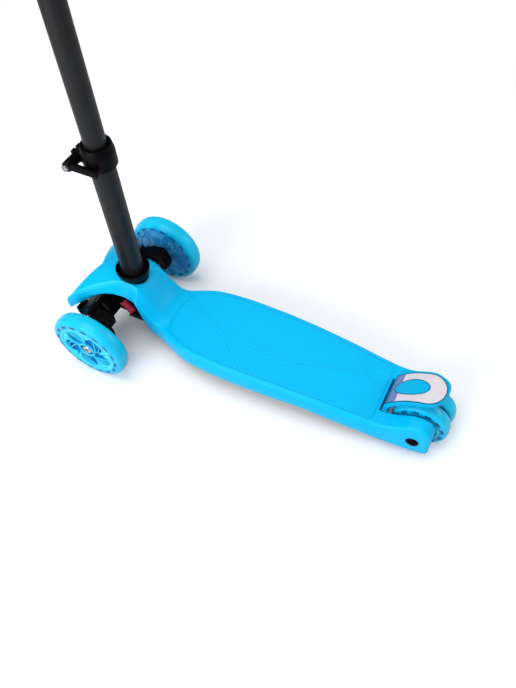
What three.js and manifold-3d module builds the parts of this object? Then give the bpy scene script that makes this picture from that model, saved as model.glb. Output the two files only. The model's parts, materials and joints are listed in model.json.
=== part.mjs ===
// Kick scooter for a child: two steered wheels in front, a close pair of small ones behind.
// Lengths are millimetres, +Z is up, the front of the scooter is towards -Y and its left is +X.
import * as THREE from "three";
import { mergeVertices } from "three/addons/utils/BufferGeometryUtils.js";
import Module from "manifold-3d";

const wasm = await Module();
wasm.setup();
const { Manifold, Mesh: SolidMesh } = wasm;

// Layout of the wheels
const wheelbase = 480;
const frontTrack = 216;
const frontWheelRadius = 60;
const frontWheelWidth = 26;
const rearWheelRadius = 40;
const rearWheelWidth = 23;
const rearWheelSpacing = 25.4;

// Fits
const gap = 0.3;
const overrun = 3;

// Deck shell: widths, heights and wall of the blue moulding
const deckHalfWidth = 66;
const neckHeight = 120;
const deckWall = 3.5;
const rimRadius = 5;
const sideBulge = 1.2;
const noseSweep = 35;
const skirtArch = 28;
const bulkheadPlace = 57;
const bossRadius = 5.5;
const bossInset = 16;

// Slot at the tail for the rear wheels and the brake
const slotReach = 55.2;
const slotLead = 2.2;
const slotHalfWidth = 28.6;
const slotFront = wheelbase - slotReach;

// Rear axle
const axleRadius = 4;
const capRadius = 8.9;
const capDome = 5.2;
const capRecess = 5;

// Base plate and its screws
const basePlateThickness = 2.5;
const screwRadius = 1.6;
const screwHeadRadius = 3.4;
const screwHeadHeight = 1.8;
const screwLength = 12;

// Steering column
const columnPlace = 19;
const columnLean = 0.8;
const lowerTubeRadius = 16.7;
const tubeWall = 1.5;
const lowerTubeFootShare = 0.6;
const lowerTubeTop = 340;
const upperTubeRadius = 14.2;
const upperTubeFoot = 120;
const upperTubeTop = 636;
const socketFootRadius = 22.8;
const socketTopRadius = 25.5;
const socketMouthRadius = 22.5;
const socketMouthDepth = 11;
const socketRise = 13;
const socketDepth = 24;
const socketShank = 20.5;

// Height clamp on the column
const clampWall = 4.5;
const clampHeight = 30;
const clampStep = 12;
const earLength = 15;
const earWidth = 7;
const slitWidth = 3;
const clampBoltRadius = 2.5;
const clampBoltHead = 5;
const clampBoltHeadHeight = 4;
const leverLength = 44;
const leverThickness = 8;

// Handlebar
const handlebarRadius = 11;
const handlebarLength = 226;
const gripRadius = 15;
const gripSetback = 2;
const gripFlangeRadius = 19;
const gripFlangeWidth = 4;
const gripEndWall = 3;
const teeRadius = 18;
const teeSocketHeight = 34;
const teeSleeveLength = 46;

// Leaning steering: kingpins, carrier and knuckles
const kingpinSpread = 58;
const kingpinAdvance = 14;
const kingpinShare = 0.5583;
const kingpinTilt = 38.5;
const kingpinRadius = 4;
const kingpinHeadRadius = 7;
const kingpinHeadHeight = 3;
const lugRadius = 12;
const lugThickness = 6;
const barrelRadius = 11;
const barrelTop = 15;
const barrelDrop = 7;
const beamHalfDepth = 12;
const beamEnd = 43;
const shieldWidth = 18;
const shieldReach = 40;
const shieldCorner = 12;
const shieldLip = 3.5;
const shieldLipHeight = 5;
const columnBossRadius = 23.5;
const bridgeHalfWidth = 26;
const bridgeTopShare = 0.7;
const footHalfWidth = 33;
const footTopShare = 0.517;
const footBottomShare = 0.417;
const carrierBoltRadius = 3;
const carrierBoltHead = 6;
const carrierBoltSpread = 17;
const bushRadius = 6.5;
const bushPlace = 32.5;
const bushHalf = 12;
const bushSetback = 32;
const bushDrop = 14;
const earThickness = 3;
const knuckleInner = 61;
const knuckleStep = 77;
const knuckleFront = 26;
const knuckleRear = 15;
const knuckleRise = 25;
const knuckleDrop = 12;
const knuckleChamfer = 6;
const flangeRadius = 22;
const flangeWidth = 11;
const hubBossRadius = 8;
const tieArmReach = 26;
const tieArmThickness = 6;
const tieArmRadius = 6.5;
const tieRodRadius = 3.4;
const tiePinRadius = 2.5;

// Wheel sections
const bearingRadius = 11;
const bearingWidth = 7;
const tyreDepth = 14;
const rearTyreDepth = 11;
const rimThickness = 5.5;
const hubWall = 4;
const webSink = 1.5;
const leafDepth = 5.5;
const leafMargin = 1.2;
const leafCount = 5;
const leafSteps = 6;
const leafSweep = 30;
const leafPhase = -22;
const leafBowShare = 0.42;
const axleHeadRadius = 7.2;
const axleHeadHeight = 3.5;

// Brake over the rear wheels
const brakeHingeHeight = 50;
const brakePinRadius = 2;
const brakeBarrelRadius = 4.6;
const brakeThickness = 6.5;
const brakeHalfWidth = 27.2;
const brakeRim = 2.9;
const brakeSteel = 1.4;
const brakeCrown = 105.5;
const brakeOverhang = 23;
const tongueHalfWidth = 12.5;
const tongueReach = 46;
const tongueSetback = 2;
const brakeSpringLength = 14;
const brakeSpringWall = 1.3;

const wheelSegments = 40;
const roundSegments = 20;
const smallSegments = 12;

// Stations along the deck shell, front to rear. Each row: place as a share of bulkheadPlace up to
// 1 and from there of the run to the rear axle, half width as a share of deckHalfWidth, then
// crest, side drop and lower edge as shares of neckHeight.
const stationShares = [
  [-1.3305, 0.94, 0.933, 0.267, 0.433],
  [-1.2295, 0.91, 0.943, 0.25, 0.475],
  [-1.0189, 0.85, 0.958, 0.217, 0.554],
  [-0.6989, 0.73, 0.979, 0.196, 0.654],
  [-0.4211, 0.669, 0.99, 0.188, 0.75],
  [-0.1432, 0.623, 0.997, 0.147, 0.817],
  [0.1768, 0.595, 1.0, 0.108, 0.858],
  [0.4211, 0.58, 0.996, 0.1, 0.867],
  [0.5979, 0.569, 0.963, 0.1, 0.842],
  [0.6989, 0.565, 0.929, 0.1, 0.783],
  [0.7916, 0.565, 0.892, 0.1, 0.517],
  [0.9095, 0.569, 0.817, 0.096, 0.358],
  [1.0116, 0.585, 0.696, 0.079, 0.25],
  [1.0355, 0.608, 0.596, 0.054, 0.242],
  [1.0638, 0.669, 0.544, 0.032, 0.242],
  [1.0922, 0.746, 0.532, 0.012, 0.242],
  [1.1251, 0.831, 0.535, 0.005, 0.242],
  [1.1637, 0.915, 0.537, 0.005, 0.242],
  [1.2204, 0.969, 0.538, 0.005, 0.242],
  [1.3101, 1.0, 0.539, 0.005, 0.242],
  [1.4213, 0.992, 0.538, 0.005, 0.242],
  [1.5268, 0.96, 0.533, 0.005, 0.242],
  [1.6221, 0.923, 0.517, 0.005, 0.238],
  [1.6811, 0.9, 0.5, 0.005, 0.217],
  [1.7379, 0.877, 0.479, 0.005, 0.183],
  [1.7878, 0.851, 0.46, 0.005, 0.163],
  [1.8252, 0.831, 0.45, 0.005, 0.15],
  [1.8672, 0.809, 0.442, 0.005, 0.125],
  [1.8956, 0.792, 0.454, 0.01, 0.113],
  [1.924, 0.777, 0.492, 0.015, 0.108],
  [1.9523, 0.763, 0.55, 0.02, 0.1],
  [1.983, 0.745, 0.608, 0.025, 0.092],
  [2.0148, 0.729, 0.621, 0.025, 0.092],
  [2.0374, 0.715, 0.592, 0.03, 0.1],
  [2.0545, 0.705, 0.517, 0.04, 0.117],
];
const curvedStations = 7;
const deckRun = wheelbase - bulkheadPlace;

// Heights that follow the neck of the shell
const lowerTubeFoot = lowerTubeFootShare * neckHeight;
const socketTop = neckHeight + socketRise;
const socketSeat = neckHeight - socketDepth;
const kingpinHeight = kingpinShare * neckHeight;
const bridgeTop = bridgeTopShare * neckHeight;
const footTop = footTopShare * neckHeight;
const footBottom = footBottomShare * neckHeight;

// Crease along the top: its place as a share of the half width behind the nose and at its tip,
// and how much of the side drop lies inside it behind the nose; at the tip all of it does
const creaseShare = 0.56;
const creaseTipShare = 0.98;
const creaseDropShare = 0.22;
const rimAngleShares = [0.5, 1];

// Closed solid from points and triangles, turned right side out
function solidFrom(points, faces) {
  const build = (list) =>
    new Manifold(
      new SolidMesh({
        numProp: 3,
        vertProperties: Float32Array.from(points.flat()),
        triVerts: Uint32Array.from(list.flat()),
      }),
    );
  const made = build(faces);
  return made.volume() < 0 ? build(faces.map(([a, b, c]) => [a, c, b])) : made;
}

// Skin over a row of closed loops with equal counts, with a fan of triangles over each end
function loft(rows) {
  const count = rows[0].length;
  const points = rows.flat();
  const faces = [];
  for (let r = 0; r + 1 < rows.length; r++)
    for (let k = 0; k < count; k++) {
      const a = r * count + k;
      const b = r * count + ((k + 1) % count);
      faces.push([a, b, b + count], [a, b + count, a + count]);
    }
  const last = (rows.length - 1) * count;
  for (const [first, step] of [
    [0, -1],
    [last, 1],
  ]) {
    const ring = points.slice(first, first + count);
    const centre = points.length;
    points.push([0, 1, 2].map((i) => ring.reduce((sum, p) => sum + p[i], 0) / count));
    for (let k = 0; k < count; k++) {
      const pair = [first + k, first + ((k + 1) % count)];
      faces.push(step > 0 ? [...pair, centre] : [pair[1], pair[0], centre]);
    }
  }
  return solidFrom(points, faces);
}

// Solid of revolution about Z from a closed profile of [radius, height]
function turned(profile, segments = roundSegments) {
  const points = [];
  const rings = profile.map(([r, z]) => {
    if (r === 0) return [points.push([0, 0, z]) - 1];
    return Array.from({ length: segments }, (_, k) => {
      const angle = (2 * Math.PI * k) / segments;
      return points.push([r * Math.cos(angle), r * Math.sin(angle), z]) - 1;
    });
  });
  const faces = [];
  rings.forEach((ring, i) => {
    const next = rings[(i + 1) % rings.length];
    if (ring.length === 1 && next.length === 1) return;
    for (let k = 0; k < segments; k++) {
      const n = (k + 1) % segments;
      if (ring.length === 1) faces.push([ring[0], next[n], next[k]]);
      else if (next.length === 1) faces.push([ring[k], ring[n], next[0]]);
      else faces.push([ring[k], ring[n], next[n]], [ring[k], next[n], next[k]]);
    }
  });
  return solidFrom(points, faces);
}

// Solid from a three.js geometry
function solidOf(geometry) {
  const plain = geometry.index ? geometry.toNonIndexed() : geometry;
  const bare = new THREE.BufferGeometry();
  bare.setAttribute("position", plain.getAttribute("position"));
  const merged = mergeVertices(bare);
  return new Manifold(
    new SolidMesh({
      numProp: 3,
      vertProperties: merged.getAttribute("position").array,
      triVerts: Uint32Array.from(merged.index.array),
    }),
  );
}

const rod = (radius, from, to, segments = roundSegments) =>
  turned([[0, from], [radius, from], [radius, to], [0, to]], segments);

const tube = (inner, outer, from, to, segments = roundSegments) =>
  turned([[inner, from], [outer, from], [outer, to], [inner, to]], segments);

const hexNut = (hole, radius, from, to) =>
  rod(radius, from, to, 6).subtract(rod(hole, from - overrun, to + overrun, smallSegments));

const block = ([x0, x1], [y0, y1], [z0, z1]) =>
  solidOf(
    new THREE.BoxGeometry(x1 - x0, y1 - y0, z1 - z0).translate(
      (x0 + x1) / 2,
      (y0 + y1) / 2,
      (z0 + z1) / 2,
    ),
  );

// Plate with the outline given in X and Y, between two heights
const plate = (outline, from, to) =>
  solidOf(
    new THREE.ExtrudeGeometry(new THREE.Shape(outline.map(([x, y]) => new THREE.Vector2(x, y))), {
      depth: to - from,
      bevelEnabled: false,
    }).translate(0, 0, from),
  );

const alongX = (solid) => solid.rotate([0, 90, 0]);
const mirrored = (solid) => solid.mirror([1, 0, 0]);
const joined = (...solids) => solids.reduce((all, next) => all.add(next));
const bothSides = (solid) => solid.add(mirrored(solid));

// Place of a station along the scooter, and the share that stands for a place
function stationPlace(row) {
  const share = stationShares[row][0];
  return share < 1 ? share * bulkheadPlace : bulkheadPlace + (share - 1) * deckRun;
}
const placeShareOf = (place) =>
  place < bulkheadPlace ? place / bulkheadPlace : 1 + (place - bulkheadPlace) / deckRun;

// Cross-section loop of the deck shell at one station, drawn in by an inset
function shellLoop(row, inset, floorDrop) {
  const [placeShare, halfShare, crestShare, dropShare, lowShare] = stationShares[row];
  const half = halfShare * deckHalfWidth - inset;
  const crest = crestShare * neckHeight - inset;
  const drop = dropShare * neckHeight;
  const low = lowShare * neckHeight - floorDrop;
  const front = stationShares[0][0];
  const end = stationShares[curvedStations - 1][0];
  const sweep = row < curvedStations ? (end - placeShare) / (end - front) : 0;
  const rim = Math.max(rimRadius - inset, rimRadius / 4);
  const place = (u) =>
    stationPlace(row) + sweep * (noseSweep * (1 - Math.abs(u) ** 1.2) + inset);
  const edgeShare = 1 - rim / half;
  const towardsTip = sweep ** 1.3;
  const creaseRun = creaseShare + (creaseTipShare - creaseShare) * towardsTip;
  const crease = Math.min(creaseRun, edgeShare * creaseTipShare);
  const insideShare = creaseDropShare + (1 - creaseDropShare) * towardsTip;
  const top = (u) => {
    const inner = insideShare * Math.min(u / crease, 1) ** 1.6;
    const outer = (1 - insideShare) * Math.max((u - crease) / (1 - crease), 0);
    return crest - drop * (inner + outer);
  };
  const floor = (u) => low + sweep * skirtArch * (1 - u * u);
  const acrossTop = [0, crease / 2, crease, (crease + edgeShare) / 2, edgeShare];
  const right = acrossTop.map((u) => [u * half, u, top(u)]);
  const edge = top(edgeShare);
  for (const share of rimAngleShares) {
    const angle = (share * Math.PI) / 2;
    right.push([half - rim + rim * Math.sin(angle), 1, edge - rim * (1 - Math.cos(angle))]);
  }
  right.push([half + sideBulge, 1, (edge + low) / 2]);
  right.push([half, 1, low + rim]);
  right.push([half - rim, edgeShare, floor(edgeShare)]);
  right.push([half / 2, 1 / 2, floor(1 / 2)]);
  right.push([0, 0, floor(0)]);
  const left = right.slice(1, -1).reverse().map(([x, u, z]) => [-x, u, z]);
  return [...right, ...left].map(([x, u, z]) => [x, place(u), z]);
}

const rowsTo = (limit) => stationShares.map((_, i) => i).filter((i) => stationPlace(i) < limit);

// Value of one column of the station table at a place along the scooter
function alongDeck(place, column, unit) {
  const share = placeShareOf(place);
  const next = Math.max(1, stationShares.findIndex((row) => row[0] >= share));
  const [a, b] = [stationShares[next - 1], stationShares[next]];
  const part = (share - a[0]) / (b[0] - a[0]);
  return unit * (a[column] + part * (b[column] - a[column]));
}
const deckHalfAt = (place) => alongDeck(place, 1, deckHalfWidth);
const deckTopAt = (place) => alongDeck(place, 2, neckHeight);
const deckLowAt = (place) => alongDeck(place, 4, neckHeight);

// Screws that hold the base plate to bosses under the deck
const screwPlaces = [0.24, 0.52, 0.8]
  .map((placeShare) => placeShare * wheelbase)
  .flatMap((y) => [
    [deckHalfAt(y) - bossInset, y],
    [bossInset - deckHalfAt(y), y],
  ]);

// Moves a piece drawn in the column's own frame into place: its height runs along the leaning axis
const onColumn = (solid) =>
  solid.rotate([-columnLean, 0, 0]).translate([0, columnPlace, 0]);
// Moves a piece drawn about an upright kingpin into place on the left kingpin, or on the middle plane
const onKingpin = (solid, x = kingpinSpread) =>
  solid.rotate([kingpinTilt, 0, 0]).translate([x, -kingpinAdvance, kingpinHeight]);

const materials = {
  blue: { color: 0x08b4ff, roughness: 0.32, metalness: 0 },
  translucentBlue: { color: 0x28c4f5, roughness: 0.2, metalness: 0, transparent: true, opacity: 0.9 },
  coreBlue: { color: 0x1a74c0, roughness: 0.35, metalness: 0 },
  black: { color: 0x1d1d20, roughness: 0.5, metalness: 0 },
  paintedBlack: { color: 0x202024, roughness: 0.35, metalness: 0.2 },
  steel: { color: 0xb8b6bc, roughness: 0.35, metalness: 1 },
  brushed: { color: 0xcbc5ca, roughness: 0.4, metalness: 1 },
  grip: { color: 0x0c8fe2, roughness: 0.6, metalness: 0 },
  red: { color: 0xa92c42, roughness: 0.45, metalness: 0 },
};

const scooter = new THREE.Group();
scooter.name = "three_wheel_scooter";

function addNode(name, solid, finish) {
  const mesh = solid.getMesh();
  const geometry = new THREE.BufferGeometry();
  geometry.setAttribute("position", new THREE.BufferAttribute(mesh.vertProperties, mesh.numProp));
  geometry.setIndex(new THREE.BufferAttribute(mesh.triVerts, 1));
  geometry.computeVertexNormals();
  const made = new THREE.Mesh(geometry, new THREE.MeshStandardMaterial(materials[finish]));
  made.name = name;
  scooter.add(made);
}

function addPair(name, solid, finish) {
  addNode(name + "_left", solid, finish);
  addNode(name + "_right", mirrored(solid), finish);
}

// Deck shell: outer skin less its hollow, with a bulkhead, screw bosses, axle holes and tail slot
const outerSkin = loft(stationShares.map((_, row) => shellLoop(row, 0, 0)));
const hollowRows = rowsTo(slotFront - deckWall);
const hollow = loft(hollowRows.map((row) => shellLoop(row, deckWall, 4 * overrun)));
const plateUnderside = (y) => deckLowAt(y) + gap;
const plateTop = (y) => plateUnderside(y) + basePlateThickness;
const bulkhead = block(
  [-deckHalfWidth, deckHalfWidth],
  [bulkheadPlace, bulkheadPlace + deckWall],
  [deckLowAt(bulkheadPlace) + basePlateThickness, neckHeight],
);
const bosses = joined(
  ...screwPlaces.map(([x, y]) =>
    rod(bossRadius, plateTop(y) + gap + bossRadius / 4, neckHeight).translate([x, y, 0]),
  ),
);
const bossHoles = joined(
  ...screwPlaces.map(([x, y]) =>
    rod(screwRadius + gap, 0, plateTop(y) + screwLength, smallSegments).translate([x, y, 0]),
  ),
);
const tailSlot = block(
  [-slotHalfWidth, slotHalfWidth],
  [slotFront, wheelbase + deckHalfWidth],
  [-overrun, neckHeight],
);
const armOuter = deckHalfAt(wheelbase);
const axleHoles = alongX(rod(axleRadius + gap, -deckHalfWidth, deckHalfWidth));
const capPockets = bothSides(
  alongX(rod(capRadius + gap, armOuter - capRecess, deckHalfWidth)),
);
const brakePinHoles = alongX(rod(brakePinRadius + gap, -armOuter + capRecess, armOuter - capRecess));
const brakeHingePlace = slotFront + slotLead + brakeBarrelRadius + gap;
const columnHole = onColumn(rod(socketShank + gap, socketSeat, socketTop + overrun));
const bulkheadBoltHoles = bothSides(
  rod(carrierBoltRadius + gap, 0, deckHalfWidth, smallSegments)
    .rotate([-90, 0, 0])
    .translate([carrierBoltSpread, bulkheadPlace - overrun, (footTop + footBottom) / 2]),
);
const deckShell = outerSkin
  .subtract(hollow)
  .add(outerSkin.intersect(joined(bulkhead, bosses)))
  .subtract(joined(bossHoles, tailSlot, columnHole))
  .subtract(axleHoles.add(capPockets).translate([0, wheelbase, rearWheelRadius]))
  .subtract(brakePinHoles.translate([0, brakeHingePlace, brakeHingeHeight]))
  .subtract(
    block(
      [-carrierBoltSpread - carrierBoltHead, carrierBoltSpread + carrierBoltHead],
      [bulkheadPlace - overrun, bulkheadPlace],
      [footBottom, footTop],
    ),
  )
  .subtract(bulkheadBoltHoles);
addNode("deck_shell", deckShell, "blue");

// Base plate that closes the hollow from below, and its screws
const baseRows = rowsTo(slotFront - deckWall - gap).filter(
  (row) => stationPlace(row) > bulkheadPlace + deckWall,
);
const baseLoop = (row) => {
  const y = stationPlace(row);
  const half = stationShares[row][1] * deckHalfWidth - rimRadius;
  return [
    [half, y, plateUnderside(y)],
    [half, y, plateTop(y)],
    [-half, y, plateTop(y)],
    [-half, y, plateUnderside(y)],
  ];
};
const basePlate = loft(baseRows.map(baseLoop));
const basePlateHoles = joined(
  ...screwPlaces.map(([x, y]) =>
    joined(
      rod(screwRadius + gap, 0, plateTop(y) + overrun, smallSegments),
      rod(screwHeadRadius + gap, 0, plateUnderside(y) + screwHeadHeight + gap, smallSegments),
    ).translate([x, y, 0]),
  ),
);
addNode("base_plate", basePlate.subtract(basePlateHoles), "black");
const screwProfile = (y) => {
  const head = plateUnderside(y);
  return [
    [0, head],
    [screwHeadRadius, head],
    [screwHeadRadius, head + screwHeadHeight],
    [screwRadius, head + screwHeadHeight],
    [screwRadius, head + screwLength],
    [0, head + screwLength],
  ];
};
screwPlaces.forEach(([x, y], i) =>
  addNode("base_screw_" + (i + 1), turned(screwProfile(y), smallSegments).translate([x, y, 0]), "steel"),
);

// Carrier: tilted beam with forked ends for the kingpins, a boss for the column and a rear foot
const forkTop = barrelTop + gap + lugThickness;
const forkFoot = -barrelDrop - gap - lugThickness;
const beam = onKingpin(
  block([-beamEnd, beamEnd], [-beamHalfDepth, beamHalfDepth], [forkFoot, forkTop]),
  0,
);
const lowerLug = Manifold.hull([
  rod(lugRadius, forkFoot, -barrelDrop - gap).translate([kingpinSpread, 0, 0]),
  block([beamEnd - overrun, beamEnd], [-beamHalfDepth, beamHalfDepth], [forkFoot, -barrelDrop - gap]),
]);
// The upper lug widens into a shield that reaches forward over the tie rod, with a lip at its edge
const shield = plate(
  [
    [beamEnd - overrun, -shieldReach],
    [kingpinSpread + overrun, -shieldReach],
    [kingpinSpread + shieldWidth, -shieldCorner],
    [kingpinSpread + shieldWidth, beamHalfDepth - overrun],
    [kingpinSpread + lugRadius, beamHalfDepth],
    [beamEnd - overrun, beamHalfDepth],
  ],
  barrelTop + gap,
  forkTop,
);
const lipSide = kingpinSpread + shieldWidth;
const lip = plate(
  [
    [beamEnd - overrun, -shieldReach],
    [kingpinSpread + overrun, -shieldReach],
    [lipSide, -shieldCorner],
    [lipSide - shieldLip, -shieldCorner],
    [kingpinSpread + overrun - shieldLip / 2, shieldLip - shieldReach],
    [beamEnd - overrun, shieldLip - shieldReach],
  ],
  forkTop - overrun,
  forkTop + shieldLipHeight,
);
const lugs = onKingpin(bothSides(lowerLug.add(shield).add(lip)), 0);
const bushEar = (from) =>
  block(
    [bushPlace - 3 * bushRadius, bushPlace + bushRadius],
    [bushSetback - bushRadius, bushSetback + bushRadius],
    [from, from + earThickness],
  );
const bushEars = onKingpin(
  bothSides(
    bushEar(bushHalf - bushDrop + gap).add(bushEar(-bushHalf - bushDrop - gap - earThickness)),
  ),
  0,
);
const bridge = block(
  [-bridgeHalfWidth, bridgeHalfWidth],
  [-kingpinAdvance, columnPlace],
  [footBottom, bridgeTop],
);
const columnBoss = onColumn(rod(columnBossRadius, footBottom, socketSeat - gap));
const bushRoom = onKingpin(
  bothSides(
    rod(bushRadius + gap, -bushHalf - bushDrop - gap, bushHalf - bushDrop + gap).translate([
      bushPlace, bushSetback, 0,
    ]),
  ),
  0,
);
const foot = block(
  [-footHalfWidth, footHalfWidth],
  [columnPlace, bulkheadPlace - gap],
  [footBottom, footTop],
);
const kingpinHole = onKingpin(rod(kingpinRadius + gap, forkFoot - overrun, forkTop + overrun, smallSegments));
const columnBore = onColumn(rod(lowerTubeRadius + gap, lowerTubeFoot - gap, socketTop));
const carrierBoltHoles = bothSides(
  rod(carrierBoltRadius + gap, -deckWall - screwLength, 0, smallSegments)
    .rotate([-90, 0, 0])
    .translate([carrierBoltSpread, bulkheadPlace, (footTop + footBottom) / 2]),
);
const tieArmBottom = gap - barrelDrop;
addNode(
  "front_carrier",
  joined(beam, lugs, bridge, bushEars, columnBoss, foot)
    .subtract(bushRoom)
    .subtract(bothSides(kingpinHole))
    .subtract(columnBore)
    .subtract(carrierBoltHoles),
  "black",
);
const carrierBolt = turned(
  [
    [0, -screwLength],
    [carrierBoltRadius, -screwLength],
    [carrierBoltRadius, deckWall + gap],
    [carrierBoltHead, deckWall + gap],
    [carrierBoltHead, deckWall + gap + carrierBoltRadius],
    [0, deckWall + gap + carrierBoltRadius],
  ],
  smallSegments,
)
  .rotate([-90, 0, 0])
  .translate([carrierBoltSpread, bulkheadPlace, (footTop + footBottom) / 2]);
addPair("carrier_bolt", carrierBolt, "steel");

// Kingpins with their nuts, and the red centring bushes behind the beam
const pinTop = forkTop + gap;
const pinFoot = forkFoot - gap;
addPair(
  "kingpin",
  onKingpin(
    turned(
      [
        [0, pinFoot - kingpinHeadHeight],
        [kingpinRadius, pinFoot - kingpinHeadHeight],
        [kingpinRadius, pinTop],
        [kingpinHeadRadius, pinTop],
        [kingpinHeadRadius, pinTop + kingpinHeadHeight],
        [0, pinTop + kingpinHeadHeight],
      ],
      smallSegments,
    ),
  ),
  "steel",
);
addPair(
  "kingpin_nut",
  onKingpin(hexNut(kingpinRadius + gap, kingpinHeadRadius, pinFoot - kingpinHeadHeight, pinFoot)),
  "steel",
);
addPair(
  "centring_bush",
  onKingpin(
    turned([
      [0, -bushHalf],
      [bushRadius, -bushHalf],
      [bushRadius, -bushHalf / 2],
      [bushRadius - gap * 4, 0],
      [bushRadius, bushHalf / 2],
      [bushRadius, bushHalf],
      [0, bushHalf],
    ]).translate([0, bushSetback, -bushDrop]),
    bushPlace,
  ),
  "red",
);

// Knuckle: barrel on the kingpin, body and round flange towards the wheel, arm for the tie rod
const wheelInner = (frontTrack - frontWheelWidth) / 2;
const bearingInner = wheelInner + gap * 6;
// Rows of the knuckle body from front to rear: place, outer face, foot and top
const knuckleFoot = frontWheelRadius - knuckleDrop;
const knuckleTop = frontWheelRadius + knuckleRise;
const knuckleRows = [
  [-knuckleFront, knuckleStep - overrun, knuckleFoot + knuckleChamfer, knuckleTop - 2 * knuckleChamfer],
  [-knuckleFront + knuckleChamfer, knuckleStep + flangeWidth / 2, knuckleFoot, knuckleTop - knuckleChamfer],
  [-knuckleRear, knuckleStep + flangeWidth / 2, knuckleFoot, knuckleTop],
  [knuckleRear, knuckleStep + flangeWidth / 2, knuckleTop - 3 * knuckleChamfer, knuckleTop],
];
const knuckleBody = loft(
  knuckleRows.map(([y, outer, foot, top]) => [
    [knuckleInner, y, foot],
    [outer, y, foot],
    [outer, y, top - knuckleChamfer / 2],
    [outer - knuckleChamfer / 2, y, top],
    [knuckleInner, y, top],
  ]),
);
const barrel = onKingpin(rod(barrelRadius, -barrelDrop, barrelTop));
const shieldSweep = rod(shieldWidth + shieldCorner / 2, barrelTop + gap / 2, deckHalfWidth);
const lugSweep = rod(lugRadius + overrun, -deckHalfWidth, -barrelDrop - gap / 2);
const lugRoom = onKingpin(shieldSweep.add(lugSweep));
const flange = alongX(
  turned([
    [0, knuckleStep - overrun],
    [flangeRadius - overrun, knuckleStep - overrun],
    [flangeRadius, knuckleStep],
    [flangeRadius, knuckleStep + flangeWidth],
    [hubBossRadius + overrun, knuckleStep + flangeWidth],
    [hubBossRadius, bearingInner - gap],
    [0, bearingInner - gap],
  ]),
).translate([0, 0, frontWheelRadius]);
const tieArm = onKingpin(
  Manifold.hull([
    rod(barrelRadius - overrun, tieArmBottom, tieArmBottom + tieArmThickness),
    rod(tieArmRadius, tieArmBottom, tieArmBottom + tieArmThickness).translate([0, -tieArmReach, 0]),
  ]),
);
const tiePinHole = onKingpin(
  rod(tiePinRadius + gap, tieArmBottom - overrun, tieArmBottom + tieArmThickness + overrun, smallSegments)
    .translate([0, -tieArmReach, 0]),
);
const tieRoom = onKingpin(
  rod(tieArmRadius + overrun, tieArmBottom - overrun, knuckleRear).translate([0, -tieArmReach, 0]),
);
const stubRoot = knuckleStep - overrun;
const stubHole = alongX(rod(axleRadius + gap, stubRoot - gap, frontTrack, smallSegments)).translate([
  0, 0, frontWheelRadius,
]);
const linkRoom = onKingpin(rod(kingpinRadius + gap, -deckHalfWidth, deckHalfWidth, smallSegments));
addPair(
  "knuckle",
  knuckleBody
    .add(flange)
    .subtract(lugRoom.add(tieRoom))
    .add(barrel)
    .add(tieArm)
    .subtract(linkRoom)
    .subtract(tiePinHole)
    .subtract(stubHole),
  "black",
);

// Tie rod in front of the beam, with a pin at each end
const tieRodHeight = tieArmBottom + tieArmThickness + gap + tieRodRadius;
const tieEye = rod(tieArmRadius, -tieRodRadius, tieRodRadius).translate([kingpinSpread, 0, 0]);
const tieHoleReach = tieRodRadius + overrun;
const tieHole = rod(tiePinRadius + gap, -tieHoleReach, tieHoleReach, smallSegments);
const tieRod = alongX(rod(tieRodRadius, -kingpinSpread, kingpinSpread))
  .add(bothSides(tieEye))
  .subtract(bothSides(tieHole.translate([kingpinSpread, 0, 0])));
addNode(
  "tie_rod",
  onKingpin(tieRod.translate([0, -tieArmReach, tieRodHeight]), 0),
  "paintedBlack",
);
const tiePinTop = tieRodHeight + tieRodRadius + gap;
addPair(
  "tie_pin",
  onKingpin(
    turned(
      [
        [0, tieArmBottom],
        [tiePinRadius, tieArmBottom],
        [tiePinRadius, tiePinTop],
        [2 * tiePinRadius, tiePinTop],
        [2 * tiePinRadius, tiePinTop + tiePinRadius],
        [0, tiePinTop + tiePinRadius],
      ],
      smallSegments,
    ).translate([0, -tieArmReach, 0]),
  ),
  "steel",
);

// Outline of a leaf between two points: a parabola on each side, drawn out by a share of its length
function leafOutline([x0, y0], [x1, y1]) {
  const side = (k, turn) => {
    const run = k / leafSteps;
    const bow = turn * 4 * run * (1 - run) * leafBowShare;
    return [x0 + (x1 - x0) * run + (y1 - y0) * bow, y0 + (y1 - y0) * run - (x1 - x0) * bow];
  };
  const steps = Array.from({ length: leafSteps }, (_, k) => k);
  return [...steps.map((k) => side(k, 1)), ...steps.map((k) => side(leafSteps - k, -1))];
}

// Wheel pieces drawn about Z, centred on the wheel's middle plane
function wheelPieces(radius, width, depth) {
  const half = width / 2;
  const tyreInner = radius - depth;
  const round = depth / 3;
  const coreHalf = half - gap * 4;
  const rimInner = tyreInner - rimThickness;
  const hub = bearingRadius + hubWall;
  const tyre = turned(
    [
      [tyreInner + gap, -coreHalf],
      [radius - 2 * round, -half],
      [radius - round / 2, -half + round / 2],
      [radius, -half / 3],
      [radius, half / 3],
      [radius - round / 2, half - round / 2],
      [radius - 2 * round, half],
      [tyreInner + gap, coreHalf],
    ],
    wheelSegments,
  );
  const ring = tube(rimInner, tyreInner, -coreHalf, coreHalf, wheelSegments);
  const face = coreHalf - webSink;
  const web = tube(hub - gap, rimInner + gap, -face, face, wheelSegments);
  const hubRing = tube(bearingRadius + gap, hub, -coreHalf, coreHalf);
  const onFace = (reach, angle) => {
    const turn = (angle * Math.PI) / 180;
    return [reach * Math.cos(turn), reach * Math.sin(turn)];
  };
  const leaf = leafOutline(onFace(hub + leafMargin, -leafSweep), onFace(rimInner - leafMargin, leafSweep));
  const leaves = Array.from({ length: leafCount }, (_, k) =>
    plate(leaf, face - leafDepth, half).rotate([0, 0, leafPhase + (360 * k) / leafCount]),
  );
  const core = joined(ring, web.subtract(joined(...leaves)), hubRing);
  return { tyre, core };
}
const bearing = tube(axleRadius + gap, bearingRadius, 0, bearingWidth, roundSegments);

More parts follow.
